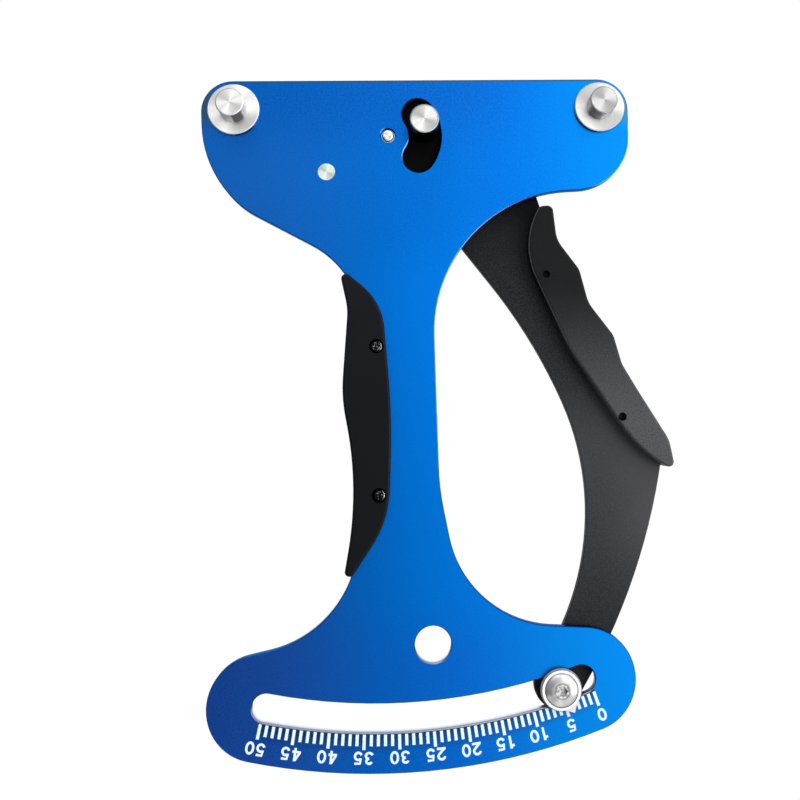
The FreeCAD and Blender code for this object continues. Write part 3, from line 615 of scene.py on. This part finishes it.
def black_coated():
    """Arm: fine matt black coating, painted light and shade along it and to its lower right, greyer with
    wear on its edges.
    """
    material, tree, shader = new_material("black_coated")
    position = object_position(tree)
    cloud = noise(tree, position, grain_mm=30.0, detail=3.0)
    speck = noise(tree, position, grain_mm=0.45, detail=3.0)
    grain = noise(tree, position, grain_mm=0.2)
    height = remap_mm(tree, parts_of(tree, position)[2], *COAT_REACH)
    # painted light and shade along the arm, brightest below its middle
    painted_levels = ramp(tree, height, [(place, scaled(COAT_TINT, level)) for place, level in COAT_PAINTED_LIGHT_LEVELS])
    # painted light towards the arm's lower right
    lower_painted_light = product(tree, fade_right(tree, position, *COAT_LIT_RIGHT_ACROSS),
                   *(fade_up(tree, position, *heights) for heights in COAT_LIT_RIGHT_UPWARD))
    clouded = remap(tree, cloud, 0.3, 0.7, 0.0, 0.2)
    dusty = product(tree, remap(tree, speck, 0.4, 0.75, 0.0, 0.26),
                    fade_up(tree, position, *COAT_DUST_UPWARD))
    edge = remap(tree, facing_front(tree), 0.5, 0.93, 0.3, 0.0)
    colour = layered(tree, painted_levels, (lower_painted_light, COAT_LIT_RIGHT), (clouded, grey(0.0)),
                     (dusty, COAT_DUST), (edge, COAT_EDGE))
    set_surface(tree, shader, colour, remap(tree, grain, 0.2, 0.8, 0.42, 0.56))
    shader.inputs["Specular IOR Level"].default_value = 0.04
    bump(tree, shader, [grain, speck], strength=0.4, distance_mm=0.02)
    return material


def grip_plastic(grip, dark, light, lower_painted_light, specular, mark=None):
    """Moulded grip with a fine spark-eroded texture, faint flow marks, painted light at its lower end and a
    dark joint.

    A grip with an ejector mark also has a painted highlight on its left edge and screw holes painted dark
    as shade.
    """
    material, tree, shader = new_material(grip + "_plastic")
    front_half = grip + "_front"
    position = object_position(tree)
    cloud = noise(tree, position, grain_mm=14.0, detail=4.0)
    texture = noise(tree, position, grain_mm=0.5, detail=4.0)
    heights = [texture, noise(tree, position, grain_mm=0.12)]
    moulded = ramp(tree, cloud, [(0.3, dark), (0.7, light)])
    skin = mix(tree, fade_up(tree, position, *GRIP_PAINTED_LIGHT_UPWARD), lower_painted_light, moulded)
    from_joint = calculate(tree, "SUBTRACT", parts_of(tree, position)[1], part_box(front_half)[1][1])
    joint = remap_mm(tree, calculate(tree, "ABSOLUTE", from_joint), *GRIP_JOINT, 0.9, 0.0)
    layers = [(remap(tree, texture, 0.35, 0.65, 0.0, 0.45), scaled(light, 0.35)), (joint, NEAR_BLACK)]
    if mark:
        layers.append((rim_share(tree, position), GRIP_RIM_HIGHLIGHT))
        # screw holes painted near black: painted shade
        for hole in SCREW_HOLES:
            radius = radius_from(tree, position, *hole)
            layers.append((remap_mm(tree, radius, SCREW_HOLE_R, SCREW_HOLE_R + 0.15, 1.0, 0.0), NEAR_BLACK))
        heights.append(round_groove(tree, position, mark))
    set_surface(tree, shader, layered(tree, skin, *layers), remap(tree, texture, 0.25, 0.75, 0.46, 0.62))
    shader.inputs["Specular IOR Level"].default_value = specular
    bump(tree, shader, heights, strength=0.3, distance_mm=0.03)
    return material


def rim_share(tree, position):
    """Share of painted highlight on a grip's rounded left edge, high up."""
    left = remap(tree, normal_parts(tree)[0], -0.75, -0.35, 1.0, 0.0)
    rounded = remap(tree, facing_front(tree), 0.3, 0.6)
    return product(tree, left, rounded, fade_up(tree, position, *GRIP_RIM_HIGHLIGHT_UPWARD))


def round_groove(tree, position, mark):
    """Height that is 0 in the groove round an ejector mark, else 1."""
    outward = remap_mm(tree, radius_from(tree, position, *mark), 0.0, MOULD_MARK_REACH)
    return ramp(tree, outward, [(part, grey(height)) for part, height in MOULD_MARK_HEIGHTS])


# ---------------------------------------------------------------- metals

def turned_steel(piece, bright=(0.74, 0.74, 0.73), end=None, side=(0.9, 0.9, 0.88),
                 side_lit=(0.4, 0.4, 0.4), side_shaded=(0.2, 0.2, 0.2), shade_starts=(0.78, 0.93),
                 spokes=0.62):
    """Lathe-turned steel: fine circles about the piece's own axis and a painted fan of highlights round it.

    A post's end may differ from its flange. Its side has a painted highlight towards the light and
    painted shade towards the hand.
    """
    material, tree, shader = new_material("turned_" + piece)
    centre = node_centre(piece)
    position = object_position(tree, centre)
    lines = rings(tree, position, pitch_mm=0.17)
    turn = around(tree, position)
    toward_hand = closeness(tree, turn, math.atan2(-centre.z, -centre.x))
    fan = remap(tree, light_fan(tree, turn), 0.2, 0.8, spokes * 0.5, 0.0)
    face = turned_face(tree, position, fan, toward_hand, bright, end or bright)
    shaded = remap(tree, toward_hand, *shade_starts)
    barrel = turned_side(tree, position, side, side_lit, (shaded, side_shaded))
    roughness = remap(tree, lines, -1.0, 1.0, *TURNED_ROUGHNESS)
    set_surface(tree, shader, mix(tree, wall_share(tree), face, barrel), roughness, metallic=1.0)
    shader.inputs["Anisotropic"].default_value = 0.75
    tangent = tree.nodes.new("ShaderNodeTangent")
    tangent.direction_type = "RADIAL"
    tangent.axis = "Y"
    tree.links.new(tangent.outputs["Tangent"], shader.inputs["Tangent"])
    bump(tree, shader, [lines], strength=0.25, distance_mm=0.006)
    return material


def turned_face(tree, position, fan, toward_hand, bright, end):
    """Flat faces: painted dark sectors, smears, and painted shade on a post's end rim, away from the hand.
    """
    smear = noise(tree, position, grain_mm=1.8, detail=3.0)
    reach = parts_of(tree, object_position(tree))[1]
    at_end = remap_mm(tree, reach, END_FACE_Y, END_FACE_Y + 1.0, 1.0, 0.0)
    rim = product(tree, remap(tree, toward_hand, -0.2, 0.5, 0.6, 0.0),
                  remap_mm(tree, radius_from(tree, position), POST_RIM_R, POST_RIM_R + 0.3), at_end)
    return layered(tree, mix(tree, at_end, bright, end), (fan, grey(0.1)),
                   (remap(tree, smear, 0.3, 0.7, 0.0, 0.12), grey(0.3)), (rim, grey(0.12)))


def turned_side(tree, position, side, side_lit, shade):
    """Side of a turned piece: painted highlight towards the light, painted shade towards the hand, with
    tooling marks.
    """
    toward_light = remap(tree, normal_parts(tree)[0], 0.4, 0.9)
    tooling = noise(tree, position, grain_mm=0.8, detail=3.0, stretch=(1.0, 0.6, 1.0))
    waves = band(tree, parts_of(tree, position)[1], pitch_mm=0.9)
    grooves = calculate(tree, "MULTIPLY_ADD", waves, 0.25, tooling)
    return layered(tree, side, (toward_light, side_lit), shade,
                   (remap(tree, grooves, 0.25, 0.8, 0.5, 0.0), grey(0.02)))


def plain_metal(name, bright, roughness, grain_mm=0.3):
    """Small metal piece from a machine: faint streaks and specks."""
    material, tree, shader = new_material(name)
    position = object_position(tree)
    streak = noise(tree, position, grain_mm, detail=3.0, stretch=(1.0, 0.2, 1.0))
    speck = noise(tree, position, grain_mm=1.2, detail=3.0)
    colour = ramp(tree, speck, [(0.35, scaled(bright, 0.8)), (0.65, bright)])
    roughness = remap(tree, streak, 0.25, 0.75, roughness - 0.06, roughness + 0.08)
    set_surface(tree, shader, colour, roughness, metallic=1.0)
    bump(tree, shader, [streak], strength=0.3, distance_mm=0.008)
    return material


def glinting_oxide():
    """Black screw heads with painted glints: a bright right edge and bright specks round the socket."""
    material, tree, shader = new_material("black_oxide_glinting")
    position = object_position(tree)
    radius = calculate(tree, "MINIMUM", *(radius_from(tree, position, *at) for at in PALM_SCREWS))
    speck_glint = product(tree, remap(tree, noise(tree, position, grain_mm=0.6), 0.56, 0.63, 0.0, 0.8),
                   remap_mm(tree, radius, 1.1, 1.3, 1.0, 0.0))
    arc = product(tree, remap(tree, normal_parts(tree)[0], 0.2, 0.4), remap_mm(tree, radius, 1.2, 1.4))
    glint = calculate(tree, "MAXIMUM", speck_glint, arc)
    colour = mix(tree, glint, OXIDE_DARK, OXIDE_GLINT)
    set_surface(tree, shader, colour, remap(tree, glint, 0.0, 1.0, 0.5, 0.3), metallic=1.0)
    return material


def sintered_bronze():
    """Oily bearing bronze with open pores."""
    material, tree, shader = new_material("sintered_bronze")
    pores = noise(tree, object_position(tree), grain_mm=0.18, detail=4.0)
    colour = ramp(tree, pores, [(0.38, BRONZE[0]), (0.52, BRONZE[1])])
    set_surface(tree, shader, colour, remap(tree, pores, 0.3, 0.7, 0.6, 0.38), metallic=0.9)
    bump(tree, shader, [pores], strength=0.5, distance_mm=0.02)
    return material


# ---------------------------------------------------------------- pointer and ink

def pointer_plate():
    """Pale plated pointer: white ring with fine circles, slope painted greyer as shade, greyer beak, outer
    wall painted dark as shade.
    """
    material, tree, shader = new_material("pointer_plate")
    position = object_position(tree, node_centre("pointer_screw"))
    radius = radius_from(tree, position)
    lines = rings(tree, position, pitch_mm=0.2)
    cloud = noise(tree, position, grain_mm=2.5, detail=3.0)
    front = facing_front(tree)
    slope = ramp(tree, cloud, [(0.35, POINTER_SLOPE_SHADED[0]), (0.65, POINTER_SLOPE_SHADED[1])])
    outer = remap_mm(tree, radius, RING_R, RING_R + 0.2)
    painted_wall_shade = product(tree, remap(tree, front, 0.2, 0.5, 1.0, 0.0), outer)
    colour = layered(tree, slope,
                     (remap(tree, front, 0.86, 0.97), RING),
                     (remap_mm(tree, radius, BEAK_R, BEAK_R + 0.3, 0.0, 0.5), BEAK),
                     (painted_wall_shade, RING_WALL_PAINTED_SHADE))
    set_surface(tree, shader, colour, remap(tree, lines, -1.0, 1.0, 0.4, 0.5), metallic=0.15)
    bump(tree, shader, [lines], strength=0.2, distance_mm=0.006)
    return material


def socket_head():
    """Pointer's button head: pale dome with painted light sectors, a painted shade wedge and edge, and a
    painted dark line round its swirled top.
    """
    material, tree, shader = new_material("socket_head")
    position = object_position(tree, node_centre("pointer_screw"))
    radius = radius_from(tree, position)
    turn = around(tree, position)
    swirl = noise(tree, position, grain_mm=0.9, detail=3.0)
    lines = rings(tree, position, pitch_mm=0.2)
    dome = ramp(tree, light_fan(tree, turn), [(0.2, HEAD_DOME[0]), (0.7, HEAD_DOME[1])])
    wedge = remap(tree, closeness(tree, turn, HEAD_SHADE_WEDGE_TURN), 0.93, 0.99, 0.0, 0.5)
    # painted shade towards the dome's edge
    rim = ramp(tree, remap_mm(tree, radius, HEAD_R - 0.7, HEAD_R),
               [(0.3, grey(0.0)), (0.65, grey(0.6)), (1.0, grey(0.9))])
    top = ramp(tree, swirl, [(0.42, HEAD_TOP[0]), (0.56, HEAD_TOP[1])])
    on_top = remap_mm(tree, radius, HEAD_TOP_R, HEAD_TOP_R + 0.1, 1.0, 0.0)
    # painted shade along the edge of the flat top
    line = ramp(tree, remap_mm(tree, radius, HEAD_TOP_R - 0.3, HEAD_TOP_R + 0.7),
                [(0.0, grey(0.0)), (0.4, grey(0.8)), (0.8, grey(0.0))])
    colour = layered(tree, dome, (wedge, grey(0.16)), (rim, grey(0.2)), (on_top, top), (line, grey(0.13)))
    set_surface(tree, shader, colour, remap(tree, lines, -1.0, 1.0, 0.38, 0.48), metallic=0.8)
    bump(tree, shader, [swirl], strength=0.3, distance_mm=0.05)
    return material


def scale_ink():
    """White printed ink, a little uneven and thin in places."""
    material, tree, shader = new_material("scale_ink")
    cover = noise(tree, object_position(tree), grain_mm=0.5, detail=3.0)
    colour = ramp(tree, cover, [(0.3, INK[0]), (0.6, INK[1])])
    set_surface(tree, shader, colour, remap(tree, cover, 0.3, 0.7, 0.6, 0.45))
    bump(tree, shader, [cover], strength=0.2, distance_mm=0.01)
    return material


def dress_nodes():
    """A finish for every CAD node; those that aren't named here are zinc plated."""
    finger = grip_plastic("finger_grip", mark=MOULD_MARK, **FINGER_GRIP_LOOKS)
    palm = grip_plastic("palm_grip", **PALM_GRIP_LOOKS)
    bronze = sintered_bronze()
    zinc = plain_metal("zinc_plated", ZINC, 0.3)
    finish = {
        "body_plate": blue_anodised(),
        "arm_plate": black_coated(),
        "palm_grip_front": palm,
        "palm_grip_rear": palm,
        "palm_grip_screws": glinting_oxide(),
        "finger_grip_front": finger,
        "finger_grip_rear": finger,
        "finger_grip_screws": plain_metal("black_oxide_painted_shade", OXIDE_PAINTED_SHADE, 0.5),
        "pivot_clip": plain_metal("black_oxide", OXIDE, 0.4),
        "pivot_washer_front": bronze,
        "pivot_washer_rear": bronze,
        "pivot_bushing": bronze,
        "pointer": pointer_plate(),
        "pointer_screw": socket_head(),
    }
    for piece, looks in TURNED_LOOKS.items():
        finish[piece] = turned_steel(piece, **looks)
    for name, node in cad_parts.items():
        node.data.materials.clear()
        node.data.materials.append(finish.get(name, zinc))


# ---------------------------------------------------------------- pieces

def built_object(name, build):
    """New object in the scene, from a bmesh filled in by build."""
    work = bmesh.new()
    build(work)
    bmesh.ops.recalc_face_normals(work, faces=work.faces)
    mesh = bpy.data.meshes.new(name)
    work.to_mesh(mesh)
    work.free()
    built = bpy.data.objects.new(name, mesh)
    bpy.context.scene.collection.objects.link(built)
    return built


def mesh_piece(name, build, body, material):
    """New piece of the tool, which rides on a body if one is given."""
    piece = built_object(name, build)
    piece.data.materials.append(material)
    if body:
        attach(piece, body)
    return piece


def scale_turn(reading):
    """Angle of a reading about the pivot, in radians from straight down."""
    return math.radians(sum(c * reading ** n for n, c in enumerate(SCALE_ANGLE)))


def on_dial(radius_mm, turn, across_mm=0.0, y_mm=0.0):
    """Point on the plate's face at a radius and angle about the pivot, moved sideways by across."""
    outward = Vector((math.sin(turn), 0.0, -math.cos(turn)))
    sideways = Vector((math.cos(turn), 0.0, math.sin(turn)))
    point = outward * radius_mm + sideways * across_mm
    return Vector((PIVOT.x, y_mm * MM, PIVOT.z)) + point * MM


def add_tick(work, turn, end_r):
    """One stroke of the scale as a thin raised slab."""
    half = TICK_WIDTH / 2.0
    corners = [(TICK_START_R, -half), (TICK_START_R, half), (end_r, half), (end_r, -half)]
    back = [work.verts.new(on_dial(r, turn, s)) for r, s in corners]
    front = [work.verts.new(on_dial(r, turn, s, -INK_T)) for r, s in corners]
    work.faces.new(front)
    work.faces.new(back)
    for n in range(4):
        m = (n + 1) % 4
        work.faces.new((front[n], front[m], back[m], back[n]))


def add_ticks(work):
    for reading in range(SCALE_UNITS + 1):
        long_one = reading % LONG_TICK_EVERY == 0
        add_tick(work, scale_turn(reading), LONG_TICK_END_R if long_one else SHORT_TICK_END_R)


def bow(x, y, across, up, start, end):
    """Points along part of an ellipse, angles in degrees."""
    steps = max(2, int(abs(end - start) / BOW_STEP))
    turns = [math.radians(start + (end - start) * n / steps) for n in range(steps + 1)]
    return [(x + across * math.cos(turn), y + up * math.sin(turn)) for turn in turns]


def digit_strokes(digit):
    """Middle lines of a digit's strokes. The digit is 1 high and stands on 0, its middle at 0."""
    low, high = DIGIT_STROKE / 2.0, 1.0 - DIGIT_STROKE / 2.0
    wide = DIGIT_HALF_WIDTH
    return {
        "0": [bow(0.0, 0.5, wide, 0.5 - low, 90.0, 450.0)],
        "1": [[(0.08, 0.0), (0.08, 1.0)],
              [(-0.2, 0.74), (-0.02, 0.8), (0.1, 0.97)]],
        "2": [bow(-0.01, high - 0.24, wide, 0.24, 170.0, -40.0) + [(-0.26, low)],
              [(-0.35, low), (0.34, low)]],
        "3": [bow(-0.02, 0.72, 0.21, high - 0.72, 165.0, -90.0),
              bow(-0.02, 0.32, wide, 0.22, 90.0, -165.0)],
        "4": [[(0.1, 0.0), (0.1, 1.0)],
              [(0.06, 0.95), (-0.26, 0.33)],
              [(-0.34, 0.3), (0.32, 0.3)]],
        "5": [[(0.28, high), (-0.16, high), (-0.2, 0.5)],
              bow(-0.01, 0.36, wide, 0.36 - low, 135.0, -160.0)],
    }[digit]


def add_stroke(work, line, half, thick, onto):
    """Flat slab of even width along a line; onto turns flat places into points front and back."""
    sides = []
    for n, (x, y) in enumerate(line):
        before = line[max(n - 1, 0)]
        after = line[min(n + 1, len(line) - 1)]
        along = Vector((after[0] - before[0], after[1] - before[1])).normalized()
        sides.append(((x - along.y * half, y + along.x * half), (x + along.y * half, y - along.x * half)))
    rows = [[work.verts.new(onto(*place, level)) for place in pair for level in (0.0, -thick)]
            for pair in sides]
    for low, high in zip(rows, rows[1:]):
        for a, b in ((0, 1), (1, 3), (3, 2), (2, 0)):
            work.faces.new((low[a], low[b], high[b], high[a]))
    for row in (rows[0], rows[-1]):
        work.faces.new((row[0], row[1], row[3], row[2]))


def add_number(work, reading):
    """One number of the scale in flat ink; its top points away from the pivot."""
    turn = scale_turn(reading)
    off_middle = 2.0 * reading / SCALE_UNITS - 1.0
    foot = LONG_TICK_END_R + NUMBER_GAP + NUMBER_GAP_MORE * off_middle ** 2
    digits = str(reading)
    for n, digit in enumerate(digits):
        shift = (n - (len(digits) - 1) / 2.0) * DIGIT_ADVANCE

        def onto(x, y, level):
            return on_dial(foot + y * NUMBER_HEIGHT, turn, -(x + shift) * NUMBER_HEIGHT, level)

        for layer, line in enumerate(digit_strokes(digit)):
            add_stroke(work, line, DIGIT_STROKE / 2.0, INK_T * (1.0 - INK_LAYER_DROP * layer), onto)


def dial_print():
    ink = scale_ink()
    mesh_piece("scale_ticks", add_ticks, "frame", ink)
    for reading in range(0, SCALE_UNITS + 1, LONG_TICK_EVERY):
        mesh_piece("scale_number_%02d" % reading, lambda work: add_number(work, reading), "frame", ink)


def tube(work, path, radius):
    """Round wire along a path, with closed ends."""
    turns = [2 * math.pi * k / WIRE_SIDES for k in range(WIRE_SIDES)]
    loops = []
    normal = None
    for n, point in enumerate(path):
        ahead = path[min(n + 1, len(path) - 1)]
        behind = path[max(n - 1, 0)]
        tangent = (ahead - behind).normalized()
        if normal is None:
            normal = tangent.orthogonal().normalized()
        normal = (normal - tangent * normal.dot(tangent)).normalized()
        other = tangent.cross(normal)
        loops.append([work.verts.new(point + (normal * math.cos(turn) + other * math.sin(turn)) * radius)
                      for turn in turns])
    for low, high in zip(loops, loops[1:]):
        for k in range(WIRE_SIDES):
            m = (k + 1) % WIRE_SIDES
            work.faces.new((low[k], low[m], high[m], high[k])).smooth = True
    work.faces.new(loops[0])
    work.faces.new(loops[-1])


def end_loop(centre, along, across):
    """Most of a circle in the plate's plane, which starts on the coil's side."""
    loop_r = LOOP_R * MM
    swings = [math.radians(LOOP_TURN) * n / LOOP_STEPS for n in range(LOOP_STEPS + 1)]
    return [centre + (along * math.cos(swing) + across * math.sin(swing)) * loop_r for swing in swings]


def close_coil(start, end, across, front):
    """Turns wound close on each other, from one place to another."""
    way = end - start
    coil_r = (COIL_R - WIRE_R) * MM
    turns = int(way.length / (2.0 * WIRE_R * COIL_SPREAD * MM))
    points = []
    for n in range(turns * COIL_STEPS + 1):
        swing = 2.0 * math.pi * n / COIL_STEPS
        points.append(start + way * (n / (turns * COIL_STEPS))
                      + (across * math.cos(swing) + front * math.sin(swing)) * coil_r)
    return points


def bend(start, before, end, after):
    """Short cubic bend from the way that one line ends to the way that the next one starts."""
    pull = (end - start).length * BEND_PULL
    way_out = (start - before).normalized() * pull
    way_in = (after - end).normalized() * pull
    points = []
    for n in range(1, BEND_STEPS):
        t = n / BEND_STEPS
        points.append(start * (1 + 2 * t) * (1 - t) ** 2 + way_out * t * (1 - t) ** 2
                      + end * t * t * (3 - 2 * t) + way_in * t * t * (t - 1))
    return points


def spring_path():
    """Wire of the return spring from the anchor to the hook pin: a loop, a close coil and a loop."""
    anchor = node_centre("spring_anchor")
    hook = node_centre("spring_hook_pin")
    low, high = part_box("extension_spring")
    anchor.y = hook.y = (low[1] + high[1]) / 2.0
    along = (hook - anchor).normalized()
    front = Vector((0.0, -1.0, 0.0))
    across = along.cross(front)
    first_centre = anchor + along * LOOP_SLACK * MM
    last_centre = hook - along * LOOP_SLACK * MM
    first = end_loop(first_centre, along, across)[::-1]
    last = end_loop(last_centre, -along, across)
    to_coil = along * (LOOP_R + COIL_GAP) * MM
    coil = close_coil(first_centre + to_coil, last_centre - to_coil, across, front)
    path = (first + bend(first[-1], first[-2], coil[0], coil[1]) + coil
            + bend(coil[-1], coil[-2], last[0], last[1]) + last)
    return path, anchor, hook


def return_spring():
    """The real wound wire, stretched between the plate's anchor and the arm's pin."""
    path, anchor, hook = spring_path()
    wire = plain_metal("spring_wire", WIRE, 0.25, grain_mm=0.2)
    piece = mesh_piece("return_spring", lambda work: tube(work, path, WIRE_R * MM), None, wire)
    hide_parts("extension_spring")
    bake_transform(piece)


# ---------------------------------------------------------------- studio

def light_path_share(tree, *kinds):
    """1 for rays of the named kinds, else 0."""
    path = tree.nodes.new("ShaderNodeLightPath")
    total = path.outputs[kinds[0]]
    for kind in kinds[1:]:
        total = calculate(tree, "MAXIMUM", total, path.outputs[kind])
    return total


def room_light(tree):
    """Brightness of the room by direction: dim on the left, a white screen on the right, white behind."""
    coords = tree.nodes.new("ShaderNodeTexCoord")
    right, back, up = parts_of(tree, coords.outputs["Generated"])
    screen = remap(tree, right, *SCREEN_EDGE, 0.0, SCREEN_LEVEL, "SMOOTHSTEP")
    height = remap(tree, up, *ROOM_RISE, ROOM_LOW, ROOM_HIGH)
    level = tree.nodes.new("ShaderNodeMix")
    tree.links.new(remap(tree, back, *BACK_EDGE), level.inputs["Factor"])
    tree.links.new(calculate(tree, "ADD", screen, height), level.inputs[2])
    level.inputs[3].default_value = 1.0
    return level.outputs[0]


def white_light(tree, level=None):
    """White background, as bright as a socket says or else plain white."""
    node = tree.nodes.new("ShaderNodeBackground")
    node.inputs["Color"].default_value = WHITE
    if level is not None:
        tree.links.new(level, node.inputs["Strength"])
    return node.outputs[0]


def mix_shaders(tree, share, shader_a, shader_b):
    node = tree.nodes.new("ShaderNodeMixShader")
    for value, socket in zip((share, shader_a, shader_b), node.inputs):
        tree.links.new(value, socket)
    return node.outputs[0]


def studio_world():
    """The room's light on the object; plain white where the camera sees it."""
    world = bpy.data.worlds.new("studio")
    bpy.context.scene.world = world
    world.use_nodes = True
    tree = world.node_tree
    tree.nodes.clear()
    level = room_light(tree)
    fill = white_light(tree, product(tree, level, FILL_LEVEL))
    mirrored = light_path_share(tree, "Is Glossy Ray", "Is Transmission Ray")
    room = mix_shaders(tree, mirrored, fill, white_light(tree, level))
    seen = mix_shaders(tree, light_path_share(tree, "Is Camera Ray"), room, white_light(tree))
    output = tree.nodes.new("ShaderNodeOutputWorld")
    tree.links.new(seen, output.inputs["Surface"])


def add_disc(work):
    bmesh.ops.create_circle(work, cap_ends=True, segments=96, radius=FLOOR_R * MM)


def studio_floor():
    """Pale floor below the object, which keeps its soft shadow."""
    floor = built_object("studio_floor", add_disc)
    floor.location.z = cad_box[0][2] - FLOOR_DROP * MM
    material, tree, shader = new_material("studio_floor")
    shader.inputs["Base Color"].default_value = FLOOR_COLOUR
    shader.inputs["Roughness"].default_value = FLOOR_ROUGHNESS
    shader.inputs["Emission Color"].default_value = WHITE
    glow = product(tree, light_path_share(tree, "Is Camera Ray", "Is Glossy Ray"), FLOOR_GLOW)
    tree.links.new(glow, shader.inputs["Emission Strength"])
    floor.data.materials.append(material)


def studio_lights():
    """Square soft boxes, each aimed at a point."""
    for name, at, look, size, power in SOFT_BOXES:
        lamp = bpy.data.lights.new(name, "AREA")
        lamp.size = size * MM
        lamp.energy = power
        light = bpy.data.objects.new(name, lamp)
        light.location = mm(*at)
        light.rotation_euler = (mm(*look) - mm(*at)).to_track_quat("-Z", "Y").to_euler()
        bpy.context.scene.collection.objects.link(light)


def photo_camera():
    camera = bpy.data.objects.new("photo_camera", bpy.data.cameras.new("photo_camera"))
    camera.data.lens = CAMERA_LENS
    camera.data.sensor_width = CAMERA_SENSOR
    camera.data.shift_x, camera.data.shift_y = CAMERA_SHIFT
    camera.data.clip_start = NEAREST_SEEN * MM
    camera.location = mm(*CAMERA_AT)
    camera.rotation_euler = Euler([math.radians(a) for a in CAMERA_TURN])
    bpy.context.scene.collection.objects.link(camera)
    bpy.context.scene.camera = camera


bpy.context.scene.view_settings.view_transform = "Standard"
dress_nodes()
dial_print()
return_spring()
studio_world()
studio_floor()
studio_lights()
photo_camera()
